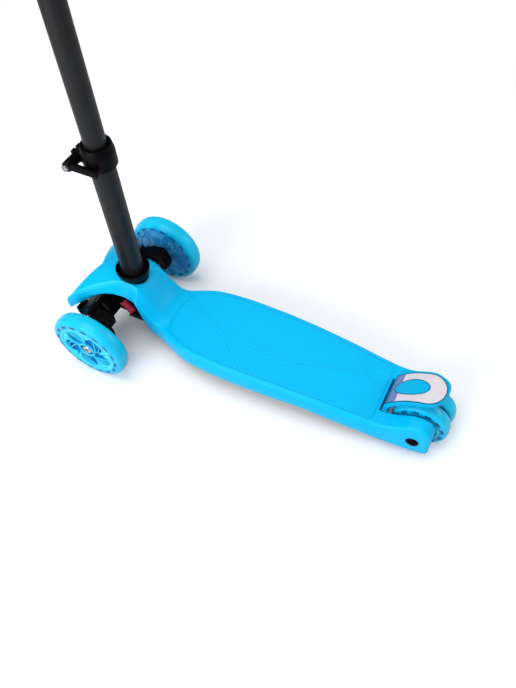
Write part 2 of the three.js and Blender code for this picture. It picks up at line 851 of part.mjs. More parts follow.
// Front wheels with two bearings each, and the bolts that carry them
const front = wheelPieces(frontWheelRadius, frontWheelWidth, tyreDepth);
const frontPlace = (solid) => alongX(solid).translate([frontTrack / 2, 0, frontWheelRadius]);
const bearingOuter = wheelInner + frontWheelWidth - gap * 6 - axleHeadHeight - bearingWidth;
addPair("front_tyre", frontPlace(front.tyre), "translucentBlue");
addPair("front_core", frontPlace(front.core), "coreBlue");
const atFrontAxle = (solid, x) => alongX(solid).translate([x, 0, frontWheelRadius]);
addPair("front_bearing_inner", atFrontAxle(bearing, bearingInner), "steel");
addPair("front_bearing_outer", atFrontAxle(bearing, bearingOuter), "steel");
const boltHead = bearingOuter + bearingWidth + gap;
addPair(
  "axle_bolt",
  atFrontAxle(
    turned([
      [0, stubRoot],
      [axleRadius, stubRoot],
      [axleRadius, boltHead],
      [axleHeadRadius, boltHead],
      [axleHeadRadius, boltHead + axleHeadHeight],
      [0, boltHead + axleHeadHeight],
    ]),
    0,
  ),
  "steel",
);

// Rear wheels, one bearing each, on a common axle with domed black caps
const capDomeShares = [
  [0.87, 0.5],
  [0.5, 0.87],
  [0, 1],
];
const rear = wheelPieces(rearWheelRadius, rearWheelWidth, rearTyreDepth);
const atRearAxle = (solid, x) => alongX(solid).translate([x, wheelbase, rearWheelRadius]);
addPair("rear_tyre", atRearAxle(rear.tyre, rearWheelSpacing / 2), "translucentBlue");
addPair("rear_core", atRearAxle(rear.core, rearWheelSpacing / 2), "coreBlue");
addPair("rear_bearing", atRearAxle(bearing, (rearWheelSpacing - bearingWidth) / 2), "steel");
const capSeat = armOuter - capRecess + gap;
addNode("rear_axle", atRearAxle(rod(axleRadius, -capSeat, capSeat), 0), "steel");
const capProfile = [
  [0, capSeat + gap],
  [capRadius, capSeat + gap],
  [capRadius, armOuter - gap],
  ...capDomeShares.map(([reach, rise]) => [reach * capRadius, armOuter - gap + rise * capDome]),
];
addPair("axle_cap", atRearAxle(turned(capProfile), 0), "black");

// Brake: blue body on a pin across the slot, with a steel plate let into its top
const brakeSideShares = [
  [0, 0],
  [0.03, 0.24],
  [0.19, 0.53],
  [0.42, 0.79],
  [0.69, 0.95],
  [1, 1],
];
const brakeTail = wheelbase + brakeOverhang;
const tongueFront = wheelbase - tongueReach;
const tongueRear = wheelbase - tongueSetback;
const brakeRun = brakeTail - brakeHingePlace;
const brakeRise = brakeCrown - brakeHingeHeight - brakeBarrelRadius;
const brakeLine = brakeSideShares.map(([run, rise]) => [
  brakeHingePlace - brakeBarrelRadius + run * (brakeRun + brakeBarrelRadius),
  brakeHingeHeight + brakeBarrelRadius / 2 + rise * (brakeRise + brakeBarrelRadius / 2),
]);
const sideBand = (from, to, halfWidth) => {
  const lower = brakeLine.map(([y, z], i) => [y + (i < 3 ? to : to / 4), z - to]).reverse();
  const upper = brakeLine.map(([y, z], i) => [y + (i < 3 ? from : from / 4), z - from]);
  return plate([...upper, ...lower], -halfWidth, halfWidth)
    .rotate([90, 0, 90]);
};
const arc = (x, y, radius, from, to, steps) =>
  Array.from({ length: steps + 1 }, (_, k) => {
    const angle = from + ((to - from) * k) / steps;
    return [x + radius * Math.cos(angle), y + radius * Math.sin(angle)];
  });
const planOutline = (halfWidth, frontPlace, rearPlace) => [
  [-halfWidth, frontPlace],
  [halfWidth, frontPlace],
  ...arc(0, rearPlace - halfWidth, halfWidth, 0, Math.PI, smallSegments),
];
const coverPlan = plate(
  planOutline(brakeHalfWidth, slotFront, brakeTail),
  0,
  brakeCrown + overrun,
);
const platePlan = (grow) =>
  plate(
    planOutline(
      brakeHalfWidth - brakeRim + grow,
      brakeHingePlace - brakeBarrelRadius / 2 - grow,
      brakeTail - brakeRim + grow,
    ),
    0,
    brakeCrown + overrun,
  );
const tongueMiddle = (tongueFront + tongueRear) / 2;
const tonguePlan = (grow) =>
  rod(tongueHalfWidth + grow, 0, brakeCrown + overrun)
    .scale([1, (tongueRear - tongueFront) / 2 / tongueHalfWidth, 1])
    .translate([0, tongueMiddle, 0]);
const steelPlate = sideBand(0, brakeSteel, brakeHalfWidth)
  .intersect(platePlan(0))
  .subtract(tonguePlan(gap));
const platePocket = sideBand(-overrun, brakeSteel + gap, brakeHalfWidth)
  .intersect(platePlan(gap))
  .subtract(tonguePlan(0));
const barrelHalfLength = slotHalfWidth - gap * 3;
const brakeBarrel = alongX(rod(brakeBarrelRadius, -barrelHalfLength, barrelHalfLength)).translate([
  0, brakeHingePlace, brakeHingeHeight,
]);
const pinBore = alongX(rod(brakePinRadius + gap, -slotHalfWidth, slotHalfWidth, smallSegments)).translate([
  0, brakeHingePlace, brakeHingeHeight,
]);
const springRadius = brakePinRadius + gap + brakeSpringWall;
const springRoom = block(
  [-brakeSpringLength / 2 - gap, brakeSpringLength / 2 + gap],
  [slotFront, brakeHingePlace + springRadius + gap],
  [brakeHingeHeight - brakeBarrelRadius - overrun, brakeHingeHeight + springRadius + gap],
);
addNode(
  "brake_cover",
  sideBand(0, brakeThickness, brakeHalfWidth)
    .intersect(coverPlan)
    .subtract(platePocket)
    .add(brakeBarrel)
    .subtract(pinBore)
    .subtract(springRoom),
  "blue",
);
addNode("brake_plate", steelPlate, "brushed");
const atBrakeHinge = (solid) => alongX(solid).translate([0, brakeHingePlace, brakeHingeHeight]);
const pinHalf = armOuter - capRecess - gap;
addNode("brake_pin", atBrakeHinge(rod(brakePinRadius, -pinHalf, pinHalf, smallSegments)), "steel");
addNode(
  "brake_spring",
  atBrakeHinge(
    tube(brakePinRadius + gap, springRadius, -brakeSpringLength / 2, brakeSpringLength / 2, smallSegments),
  ),
  "steel",
);

// Column: socket, lower tube, height clamp with its lever, upper tube
addNode(
  "column_socket",
  onColumn(
    turned([
      [lowerTubeRadius + gap, socketSeat],
      [socketShank, socketSeat],
      [socketShank, neckHeight + gap],
      [socketFootRadius, neckHeight + gap],
      [socketTopRadius, socketTop - overrun],
      [socketTopRadius, socketTop],
      [socketMouthRadius, socketTop],
      [lowerTubeRadius + gap, socketTop - socketMouthDepth],
    ], wheelSegments),
  ),
  "black",
);
addNode(
  "lower_tube",
  onColumn(tube(lowerTubeRadius - tubeWall, lowerTubeRadius, lowerTubeFoot, lowerTubeTop, wheelSegments)),
  "paintedBlack",
);
const sleeveInner = upperTubeRadius + gap;
const sleeveOuter = lowerTubeRadius - tubeWall - gap;
addNode(
  "guide_sleeve",
  onColumn(
    turned([
      [sleeveInner, lowerTubeTop - clampHeight],
      [sleeveOuter, lowerTubeTop - clampHeight],
      [sleeveOuter, lowerTubeTop + gap],
      [lowerTubeRadius, lowerTubeTop + gap],
      [lowerTubeRadius, lowerTubeTop + tubeWall],
      [sleeveInner, lowerTubeTop + tubeWall],
    ]),
  ),
  "black",
);
addNode(
  "upper_tube",
  onColumn(tube(upperTubeRadius - tubeWall, upperTubeRadius, upperTubeFoot, upperTubeTop)),
  "paintedBlack",
);
const clampInner = lowerTubeRadius + gap;
const clampOuter = clampInner + clampWall;
const clampFoot = lowerTubeTop - clampHeight + clampStep;
const clampTop = clampFoot + clampHeight;
const clampMiddle = lowerTubeTop - clampStep;
const earEnd = clampOuter + earLength;
const ears = block(
  [-earWidth - slitWidth / 2, earWidth + slitWidth / 2],
  [-earEnd, -clampInner - clampWall / 2],
  [clampMiddle - earWidth, clampMiddle + earWidth],
);
const boltPlace = clampOuter + earLength / 2;
const clampBand = turned([
  [clampInner, clampFoot],
  [clampOuter, clampFoot],
  [clampOuter, lowerTubeTop + tubeWall + gap],
  [clampOuter - clampWall / 2, clampTop],
  [upperTubeRadius + gap, clampTop],
  [upperTubeRadius + gap, lowerTubeTop + tubeWall + gap],
  [clampInner, lowerTubeTop + tubeWall + gap],
]);
const slitSpan = [-slitWidth / 2, slitWidth / 2];
addNode(
  "clamp_collar",
  onColumn(
    clampBand
      .add(ears)
      .subtract(block(slitSpan, [-earEnd - overrun, 0], [clampFoot - overrun, clampTop + overrun]))
      .subtract(
        alongX(rod(clampBoltRadius + gap, -earEnd, earEnd, smallSegments))
          .translate([0, -boltPlace, clampMiddle]),
      ),
  ),
  "black",
);
const earFace = earWidth + slitWidth / 2;
const leverInner = earFace + gap;
const leverOuter = clampOuter + gap + leverThickness;
const atClampBolt = (solid) => onColumn(alongX(solid).translate([0, -boltPlace, clampMiddle]));
addNode(
  "clamp_bolt",
  atClampBolt(
    turned(
      [
        [0, -earFace - clampBoltHeadHeight],
        [clampBoltHead, -earFace - clampBoltHeadHeight],
        [clampBoltHead, -earFace - gap],
        [clampBoltRadius, -earFace - gap],
        [clampBoltRadius, leverOuter + clampBoltHeadHeight],
        [0, leverOuter + clampBoltHeadHeight],
      ],
      smallSegments,
    ),
  ),
  "steel",
);
addNode(
  "clamp_nut",
  atClampBolt(
    hexNut(clampBoltRadius + gap, clampBoltHead, leverOuter + gap, leverOuter + clampBoltHeadHeight),
  ),
  "steel",
);
const leverArm = block(
  [clampOuter + gap, leverOuter],
  [-boltPlace, -boltPlace + leverLength],
  [clampMiddle - earWidth / 2, clampMiddle + earWidth / 2],
);
addNode(
  "clamp_lever",
  onColumn(
    alongX(rod(earWidth, leverInner, leverOuter))
      .translate([0, -boltPlace, clampMiddle])
      .add(leverArm)
      .subtract(
        alongX(rod(clampBoltRadius + gap, 0, leverOuter + overrun, smallSegments))
          .translate([0, -boltPlace, clampMiddle]),
      ),
  ),
  "black",
);

// Handlebar on a tee that sits over the upper tube, with a grip at each end
const barHeight = upperTubeTop + handlebarRadius + gap;
const teeFoot = upperTubeTop - teeSocketHeight;
const acrossBar = (solid) => alongX(solid).translate([0, 0, barHeight]);
const onBar = (solid) => onColumn(acrossBar(solid));
const tee = rod(teeRadius, teeFoot, barHeight)
  .add(acrossBar(rod(teeRadius - overrun, -teeSleeveLength / 2, teeSleeveLength / 2)))
  .subtract(rod(upperTubeRadius + gap, teeFoot - overrun, upperTubeTop + gap))
  .subtract(acrossBar(rod(handlebarRadius + gap, -handlebarLength, handlebarLength)));
addNode("handlebar_tee", onColumn(tee), "black");
addNode(
  "handlebar",
  onBar(tube(handlebarRadius - tubeWall, handlebarRadius, -handlebarLength / 2, handlebarLength / 2)),
  "paintedBlack",
);
const gripStart = teeSleeveLength / 2 + gripSetback;
const gripEnd = handlebarLength / 2 + gap + gripEndWall;
addPair(
  "grip",
  onBar(
    turned([
      [handlebarRadius + gap, gripStart],
      [gripFlangeRadius, gripStart],
      [gripFlangeRadius, gripStart + gripFlangeWidth],
      [gripRadius, gripStart + gripFlangeWidth],
      [gripRadius, gripEnd - gripEndWall],
      [gripRadius - gripEndWall, gripEnd],
      [0, gripEnd],
      [0, handlebarLength / 2 + gap],
      [handlebarRadius + gap, handlebarLength / 2 + gap],
    ]),
  ),
  "grip",
);

// The origin is the middle of the footprint on the ground
const box = new THREE.Box3().setFromObject(scooter);
scooter.position.set(0, -(box.min.y + box.max.y) / 2, -box.min.z);

const group = new THREE.Group();
group.add(scooter);

export default group;
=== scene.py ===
"""Child's kick scooter, two wheels in front and a close pair behind: visual model, finishes,
light and camera.

Lengths in this file are millimetres in the scooter's own frame, until a mesh is made: the middle
of the front axle stands over the origin, +Z is up, the front is towards -Y and the left is +X.
"""

import json
import logging
import math
from dataclasses import dataclass, field
from enum import Enum

import bmesh
import bpy
import numpy as np
from mathutils import Matrix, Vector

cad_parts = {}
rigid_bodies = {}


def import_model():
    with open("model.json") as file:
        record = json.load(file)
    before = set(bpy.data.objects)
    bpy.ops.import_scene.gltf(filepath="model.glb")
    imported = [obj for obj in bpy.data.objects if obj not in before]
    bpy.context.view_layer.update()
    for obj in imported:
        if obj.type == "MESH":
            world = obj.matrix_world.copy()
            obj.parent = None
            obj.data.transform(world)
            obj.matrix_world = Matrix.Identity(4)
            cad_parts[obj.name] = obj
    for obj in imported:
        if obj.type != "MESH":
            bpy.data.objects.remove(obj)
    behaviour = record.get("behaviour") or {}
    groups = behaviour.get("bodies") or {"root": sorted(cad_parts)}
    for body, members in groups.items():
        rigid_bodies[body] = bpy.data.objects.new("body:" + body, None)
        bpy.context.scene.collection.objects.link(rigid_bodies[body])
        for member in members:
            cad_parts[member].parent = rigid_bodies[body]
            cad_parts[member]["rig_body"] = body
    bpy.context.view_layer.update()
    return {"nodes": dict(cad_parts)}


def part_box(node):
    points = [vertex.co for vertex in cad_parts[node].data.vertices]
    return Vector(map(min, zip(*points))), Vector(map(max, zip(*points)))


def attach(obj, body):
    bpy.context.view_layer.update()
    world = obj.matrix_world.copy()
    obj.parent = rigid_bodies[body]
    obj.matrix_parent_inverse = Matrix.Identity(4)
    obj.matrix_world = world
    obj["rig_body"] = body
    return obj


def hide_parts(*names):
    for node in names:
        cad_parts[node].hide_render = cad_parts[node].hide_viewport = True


MM = 0.001
MERGE_DISTANCE = 2e-7
CAD_MERGE_DISTANCE = 2e-6
FLAT_DEGREES = 0.6
BEVEL_DEGREES = 38.0
BEVEL_STEPS = 2
Array = np.ndarray
Triple = tuple[float, float, float]
Colour = Triple
BLACK: Colour = (0.0, 0.0, 0.0)
WHITE: Colour = (1.0, 1.0, 1.0)
log = logging.getLogger("scooter")


# Surfaces


@dataclass(frozen=True)
class Skin:
    """Points and quads of a surface.

    Args:
        points: N x 3 array of places in millimetres.
        faces: F x 4 array of point numbers.
    """

    points: Array
    faces: Array


def blend_colour(a: Colour, b: Colour, share: float) -> Colour:
    """Colour that lies that share of the way from a to b."""
    return tuple((1 - share) * p + share * q for p, q in zip(a, b))


def srgb(red: int, green: int, blue: int) -> Colour:
    """Linear colour of an 8-bit screen colour.

    Args:
        red: red value from 0 to 255.
        green: green value from 0 to 255.
        blue: blue value from 0 to 255.

    Returns:
        The three linear values.
    """
    screen = np.array([red, green, blue]) / 255
    linear = np.where(screen <= 0.04045, screen / 12.92, ((screen + 0.055) / 1.055) ** 2.4)
    return tuple(float(v) for v in linear)


def grid_quads(
    rows: int, columns: int, loop_rows: bool = False, loop_columns: bool = False
) -> Array:
    """Quads between neighbours of a grid numbered row by row.

    Args:
        rows: number of rows.
        columns: number of columns.
        loop_rows: whether the last row joins the first.
        loop_columns: whether the last column joins the first.

    Returns:
        An F x 4 array of point numbers.
    """
    row = np.arange(rows if loop_rows else rows - 1)[:, None]
    column = np.arange(columns if loop_columns else columns - 1)[None, :]
    beside = (column + 1) % columns
    below = ((row + 1) % rows) * columns
    quads = np.stack(
        [row * columns + column, row * columns + beside, below + beside, below + column], axis=-1
    )
    return quads.reshape(-1, 4)


def joined(*skins: Skin) -> Skin:
    """One skin that holds all the points and quads of several."""
    starts = np.cumsum([0] + [len(s.points) for s in skins[:-1]])
    return Skin(
        np.concatenate([s.points for s in skins]),
        np.concatenate([s.faces + start for s, start in zip(skins, starts)]),
    )


def rounded(corners: Array, radius: float, steps: int = 4, closed: bool = True) -> Array:
    """Polyline whose corners are eased: each corner P becomes the parabola
    (1-t)^2 A + 2t(1-t) P + t^2 B, with A and B at most radius and half an edge away from P.

    Args:
        corners: N x 2 array.
        radius: how far from the corner the easing starts.
        steps: pieces in each eased corner.
        closed: whether the last corner joins the first; the ends of an open line stay put.

    Returns:
        The eased line, (steps + 1) points for each corner.
    """
    before, after = np.roll(corners, 1, axis=0), np.roll(corners, -1, axis=0)
    ease = []
    for other in (before, after):
        run = other - corners
        length = np.maximum(np.linalg.norm(run, axis=1, keepdims=True), 1e-9)
        ease.append(corners + run * np.minimum(radius / length, 0.49))
    t = np.linspace(0, 1, steps + 1)[None, :, None]
    start, end, corner = ease[0][:, None], ease[1][:, None], corners[:, None]
    curve = (1 - t) ** 2 * start + 2 * t * (1 - t) * corner + t**2 * end
    if closed:
        return curve.reshape(-1, 2)
    return np.concatenate([corners[:1], curve[1:-1].reshape(-1, 2), corners[-1:]])


def revolved(
    profile: Array, segments: int = 96, six_sided: Array | None = None, relief: Array | None = None
) -> Skin:
    """Surface of revolution about Z: the profile (r, z) is carried round the angle a to
    (r cos a, r sin a, z + relief). Rows that are six-sided have r shortened to the flats of a
    hexagon, r cos 30 / cos((a mod 60) - 30).

    Args:
        profile: N x 2 array of radius and height; it closes on itself.
        segments: steps in a whole turn, a multiple of six.
        six_sided: for each profile point, 1 where its ring is a hexagon and 0 where it is round.
        relief: N x segments array that is added to the heights.

    Returns:
        The closed surface.
    """
    angle = np.arange(segments) * 2 * np.pi / segments
    flats = np.cos(np.pi / 6) / np.cos(np.mod(angle, np.pi / 3) - np.pi / 6)
    radius = np.repeat(profile[:, :1], segments, axis=1)
    if six_sided is not None:
        radius = radius * np.where(np.asarray(six_sided)[:, None] > 0, flats[None, :], 1.0)
    height = np.repeat(profile[:, 1:], segments, axis=1)
    if relief is not None:
        height = height + relief
    points = np.stack([radius * np.cos(angle), radius * np.sin(angle), height], axis=-1)
    return Skin(points.reshape(-1, 3), grid_quads(len(profile), segments, True, True))


def rod(radius: float, start: float, end: float, edge: float = 0.4, segments: int = 96) -> Skin:
    """Round bar along Z with eased edges.

    Args:
        radius: its radius.
        start: height of its lower end.
        end: height of its upper end.
        edge: how far the edges are eased.
        segments: steps in a whole turn.

    Returns:
        The closed surface.
    """
    corners = np.array([[0, start], [radius, start], [radius, end], [0, end]], float)
    profile = rounded(corners, edge, 3, closed=False)
    return revolved(profile, segments)


def tube(inner: float, outer: float, start: float, end: float, edge: float = 0.35) -> Skin:
    """Round tube along Z with eased edges.

    Args:
        inner: radius of its bore.
        outer: radius of its outside.
        start: height of its lower end.
        end: height of its upper end.
        edge: how far the edges are eased.

    Returns:
        The closed surface.
    """
    corners = np.array([[inner, start], [outer, start], [outer, end], [inner, end]], float)
    return revolved(rounded(corners, edge, 3))


def ladder(loops: Array) -> Skin:
    """Closed skin over a stack of closed loops: rows join to rows, and each end is closed by
    rungs between point k and point K-1-k of its loop.

    Args:
        loops: R x K x 3 array, K even, whose first half runs over the top and second half back.

    Returns:
        The closed surface.
    """
    rows, count = loops.shape[:2]
    half = count // 2
    rung = np.arange(half - 1)
    cap = np.stack([rung, rung + 1, count - 2 - rung, count - 1 - rung], axis=-1)
    far_cap = cap[:, ::-1] + (rows - 1) * count
    faces = np.concatenate([grid_quads(rows, count, False, True), cap, far_cap])
    return Skin(loops.reshape(-1, 3), faces)


def block(x: tuple[float, float], y: tuple[float, float], z: tuple[float, float]) -> Skin:
    """Box cutter between the given limits."""
    low, high = np.array([x[0], y[0], z[0]]), np.array([x[1], y[1], z[1]])
    loop = np.array([[0, 0, 1], [1, 0, 1], [1, 0, 0], [0, 0, 0]], float)
    loops = np.stack([loop, loop + [0, 1, 0]])
    return ladder(low + loops * (high - low))


def ease_between(value: Array, low: float, high: float) -> Array:
    """Smooth step t^2 (3 - 2t), 0 up to low and 1 from high."""
    t = np.clip((value - low) / (high - low), 0.0, 1.0)
    return t * t * (3 - 2 * t)


def smooth_between(places: Array, values: Array, wanted: Array) -> Array:
    """Monotone cubic through a table: between two places the value follows the Hermite cubic
    whose slopes are the harmonic means of the neighbouring chords, and zero at a turn.

    Args:
        places: N rising places.
        values: N x C array of values there.
        wanted: M places to read.

    Returns:
        An M x C array.
    """
    step = np.diff(places)[:, None]
    chord = np.diff(values, axis=0) / step
    product = chord[:-1] * chord[1:]
    total = chord[:-1] + chord[1:]
    inner = np.where(product > 0, 2 * product / np.where(total == 0, 1, total), 0.0)
    slope = np.concatenate([chord[:1], inner, chord[-1:]])
    cell = np.clip(np.searchsorted(places, wanted) - 1, 0, len(places) - 2)
    width = step[cell]
    t = (wanted - places[cell])[:, None] / width
    return (
        (2 * t**3 - 3 * t**2 + 1) * values[cell]
        + (t**3 - 2 * t**2 + t) * width * slope[cell]
        + (3 * t**2 - 2 * t**3) * values[cell + 1]
        + (t**3 - t**2) * width * slope[cell + 1]
    )


@dataclass(frozen=True)
class Placement:
    """Where a piece drawn about +Z goes.

    Args:
        shift: moved by this first, in its own frame.
        along_x: whether its +Z then lies along +X.
        tilt: degrees that it then turns about X.
        offset: moved by this last.
        mirror: whether it is then mirrored to the scooter's right side.
    """

    shift: Triple = (0.0, 0.0, 0.0)
    along_x: bool = False
    tilt: float = 0.0
    offset: Triple = (0.0, 0.0, 0.0)
    mirror: bool = False

    def place(self, skin: Skin) -> Skin:
        """The skin in its place.

        Args:
            skin: the surface to move.

        Returns:
            The moved surface.
        """
        p = skin.points
        if self.along_x:
            p = np.stack([p[:, 2], p[:, 1], -p[:, 0]], axis=-1)
        p = p + np.array(self.shift)
        s, c = math.sin(math.radians(self.tilt)), math.cos(math.radians(self.tilt))
        p = np.stack([p[:, 0], p[:, 1] * c - p[:, 2] * s, p[:, 1] * s + p[:, 2] * c], axis=-1)
        p = p + np.array(self.offset)
        if self.mirror:
            p = p * np.array([-1.0, 1.0, 1.0])
        return Skin(p, skin.faces)


# Shaders


class Signal:
    """A shader socket that takes part in Python arithmetic: each operator adds a Math node."""

    def __init__(self, shader: "Shader", socket: bpy.types.NodeSocket) -> None:
        """Wraps one output socket of a shader."""
        self.shader = shader
        self.socket = socket

    def math(self, operation: str, *others: "Signal | float") -> "Signal":
        """Result of a Math node on this signal and others."""
        inputs = dict(enumerate((self, *others)))
        return self.shader.node("ShaderNodeMath", {"operation": operation}, inputs)

    def __add__(self, other: "Signal | float") -> "Signal":
        """Sum."""
        return self.math("ADD", other)

    __radd__ = __add__

    def __sub__(self, other: "Signal | float") -> "Signal":
        """Difference."""
        return self.math("SUBTRACT", other)

    def __rsub__(self, other: float) -> "Signal":
        """Difference from a number."""
        return self.math("MULTIPLY", -1.0).math("ADD", other)

    def __mul__(self, other: "Signal | float") -> "Signal":
        """Product."""
        return self.math("MULTIPLY", other)

    __rmul__ = __mul__

    def __pow__(self, other: "Signal | float") -> "Signal":
        """Power."""
        return self.math("POWER", other)

    def __abs__(self) -> "Signal":
        """Size without sign."""
        return self.math("ABSOLUTE")

    def most(self, other: "Signal | float") -> "Signal":
        """The greater of the two."""
        return self.math("MAXIMUM", other)

    def step(self, low: float, high: float) -> "Signal":
        """Smooth step: 0 below low, 1 above high."""
        inputs = {"Value": self, "From Min": low, "From Max": high}
        return self.shader.node(
            "ShaderNodeMapRange", {"interpolation_type": "SMOOTHSTEP"}, inputs, "Result"
        )

    def line(self, centre: float, width: float) -> "Signal":
        """1 on the line where the signal equals centre, falling smoothly to 0 a width away."""
        return 1.0 - abs(self - centre).step(0.0, width)


class Shader:
    """Builds the node tree of one material or of the world."""

    def __init__(self, owner: bpy.types.Material | bpy.types.World) -> None:
        """Clears the owner's tree."""
        owner.use_nodes = True
        self.is_world = isinstance(owner, bpy.types.World)
        self.tree = owner.node_tree
        self.tree.nodes.clear()

    def node(
        self,
        kind: str,
        settings: dict | None = None,
        inputs: dict | None = None,
        output: str | int = 0,
    ) -> Signal:
        """Adds a node.

        Args:
            kind: the node's type.
            settings: its own settings, set first.
            inputs: a value or a signal for each named or numbered socket.
            output: the output socket that is returned.

        Returns:
            The output as a signal.
        """
        made = self.tree.nodes.new(kind)
        for name, value in (settings or {}).items():
            setattr(made, name, value)
        for key, value in (inputs or {}).items():
            socket = made.inputs[key]
            if isinstance(value, Signal):
                self.tree.links.new(value.socket, socket)
            elif isinstance(value, tuple) and socket.type == "RGBA":
                socket.default_value = (*value[:3], 1.0)
            else:
                socket.default_value = value
        return Signal(self, made.outputs[output])

    def place(self, centre: Triple = (0.0, 0.0, 0.0)) -> Signal:
        """Object coordinates in millimetres from a centre given in metres."""
        point = self.node("ShaderNodeTexCoord", output="Object")
        away = self.node("ShaderNodeVectorMath", {"operation": "SUBTRACT"}, {0: point, 1: centre})
        scale = {0: away, "Scale": 1 / MM}
        return self.node("ShaderNodeVectorMath", {"operation": "SCALE"}, scale)

    def parts(self, point: Signal) -> tuple[Signal, Signal, Signal]:
        """The three parts of a vector."""
        split = self.node("ShaderNodeSeparateXYZ", inputs={0: point})
        outputs = split.socket.node.outputs
        return tuple(Signal(self, outputs[i]) for i in range(3))

    def vector(self, x: Signal | float, y: Signal | float, z: Signal | float) -> Signal:
        """A vector from three parts."""
        return self.node("ShaderNodeCombineXYZ", inputs={0: x, 1: y, 2: z})

    def noise(self, point: Signal, size: float, detail: float = 2.0) -> Signal:
        """Noise from 0 to 1 with features of about that size in the point's unit."""
        inputs = {"Vector": point, "Scale": 1 / size, "Detail": detail}
        return self.node("ShaderNodeTexNoise", inputs=inputs)

    def mix(self, share: Signal | float, a: Signal | Colour, b: Signal | Colour) -> Signal:
        """Colour that lies a share of the way from a to b."""
        settings = {"data_type": "RGBA", "clamp_factor": True}
        return self.node("ShaderNodeMix", settings, {0: share, 6: a, 7: b}, 2)

    def bump(self, height: Signal, strength: float = 1.0) -> Signal:
        """Normal of a surface raised by the height in millimetres."""
        inputs = {"Height": height, "Strength": strength, "Distance": MM}
        return self.node("ShaderNodeBump", inputs=inputs)

    def surface(self, shader: Signal) -> None:
        """Makes the shader the output of the tree."""
        kind = "ShaderNodeOutputWorld" if self.is_world else "ShaderNodeOutputMaterial"
        made = self.tree.nodes.new(kind)
        self.tree.links.new(shader.socket, made.inputs["Surface"])


# Finishes


@dataclass(frozen=True)
class Finish:
    """What all finishes have.

    Args:
        name: the material's name.
        slot: the record's material slot; not used.
        colour: main colour.
        gloss: roughness of the smooth parts.
    """

    name: str
    slot: str
    colour: Colour
    gloss: float = 0.35

    def material(self) -> bpy.types.Material:
        """Makes the material.

        Returns:
            The material.
        """
        made = bpy.data.materials.new(self.name)
        shader = Shader(made)
        inputs = self.sockets(shader)
        shader.surface(shader.node("ShaderNodeBsdfPrincipled", inputs=inputs))
        made.diffuse_color = (*self.colour, 1.0)
        return made

    def sockets(self, shader: Shader) -> dict:
        """Values and signals for the Principled shader's sockets."""
        raise NotImplementedError


@dataclass(frozen=True)
class Moulding(Finish):
    """Moulded plastic: faint flow marks in the colour and a fine orange-peel skin.

    Args:
        peel: height of the skin's texture in millimetres.
        peel_size: size of its features in millimetres.
        shine: specular level.
    """

    peel: float = 0.012
    peel_size: float = 0.9
    shine: float = 0.3

    def sockets(self, shader: Shader) -> dict:
        """Values and signals for the Principled shader's sockets.

        Args:
            shader: the material's tree.

        Returns:
            The sockets' values by name.
        """
        point = shader.place()
        flow = shader.noise(point, 38.0, 3.0)
        peel = shader.noise(point, self.peel_size)
        return {
            "Base Color": shader.mix(flow, blend_colour(self.colour, BLACK, 0.07), self.colour),
            "Roughness": self.gloss + (peel - 0.5) * 0.12,
            "Specular IOR Level": self.shine,
            "Normal": shader.bump(peel * self.peel),
        }


@dataclass(frozen=True)
class DeckMoulding(Moulding):
    """The deck's plastic. Its standing area is marked off by a groove and a bead, is a little
    rougher inside, and carries faint raised sweeps. The attribute "pad" is the distance inwards
    from the outline of the standing area, and "crease" the distance beyond the nose's crease,
    along which a painted highlight makes the plastic lighter.

    Args:
        sweeps: centre x, centre y and radius of each raised arc, in millimetres of the row frame.
    """

    sweeps: tuple[Triple, ...] = ()

    def sockets(self, shader: Shader) -> dict:
        """Values and signals for the Principled shader's sockets.

        Args:
            shader: the material's tree.

        Returns:
            The sockets' values by name.
        """
        made = super().sockets(shader)
        pad = shader.node("ShaderNodeAttribute", {"attribute_name": "pad"}, output="Fac")
        inside = pad.step(4.0, 6.0)
        groove = pad.line(0.0, 1.1)
        bead = pad.line(2.6, 1.0)
        point = shader.place()
        x, y, _ = shader.parts(point)
        flat = shader.vector(x, y, 0.0)
        arcs = None
        for centre_x, centre_y, radius in self.sweeps:
            inputs = {0: flat, 1: (centre_x, centre_y, 0.0)}
            away = shader.node("ShaderNodeVectorMath", {"operation": "DISTANCE"}, inputs, 1)
            arc = away.line(radius, 1.3)
            arcs = arc if arcs is None else arcs.most(arc)
        relief = bead * 0.28 - groove * 0.4 + arcs * inside * 0.22
        grain = shader.noise(point, 0.55)
        peel = shader.noise(point, self.peel_size)
        relief = relief + grain * inside * 0.02 + peel * self.peel
        # The groove is painted darker as painted shade; the raised sweeps are tinted darker as a
        # pattern.
        lines = groove.most(arcs * inside * 0.35)
        dark = blend_colour(self.colour, (0, 0, 0.25), 0.3)
        # Painted highlight: a lighter line along the nose's crease and a fainter lighter band
        # beyond it.
        beyond = shader.node("ShaderNodeAttribute", {"attribute_name": "crease"}, output="Fac")
        band = beyond.step(-1.0, 0.4) * (1.0 - beyond.step(2.0, 9.0))
        lit = beyond.line(0.6, 1.6) * 0.42 + band * 0.2
        base = shader.mix(lit, made["Base Color"], srgb(70, 222, 255))
        made["Base Color"] = shader.mix(lines * 0.55, base, dark)
        made["Roughness"] = made["Roughness"] + inside * 0.08
        made["Normal"] = shader.bump(relief)
        return made


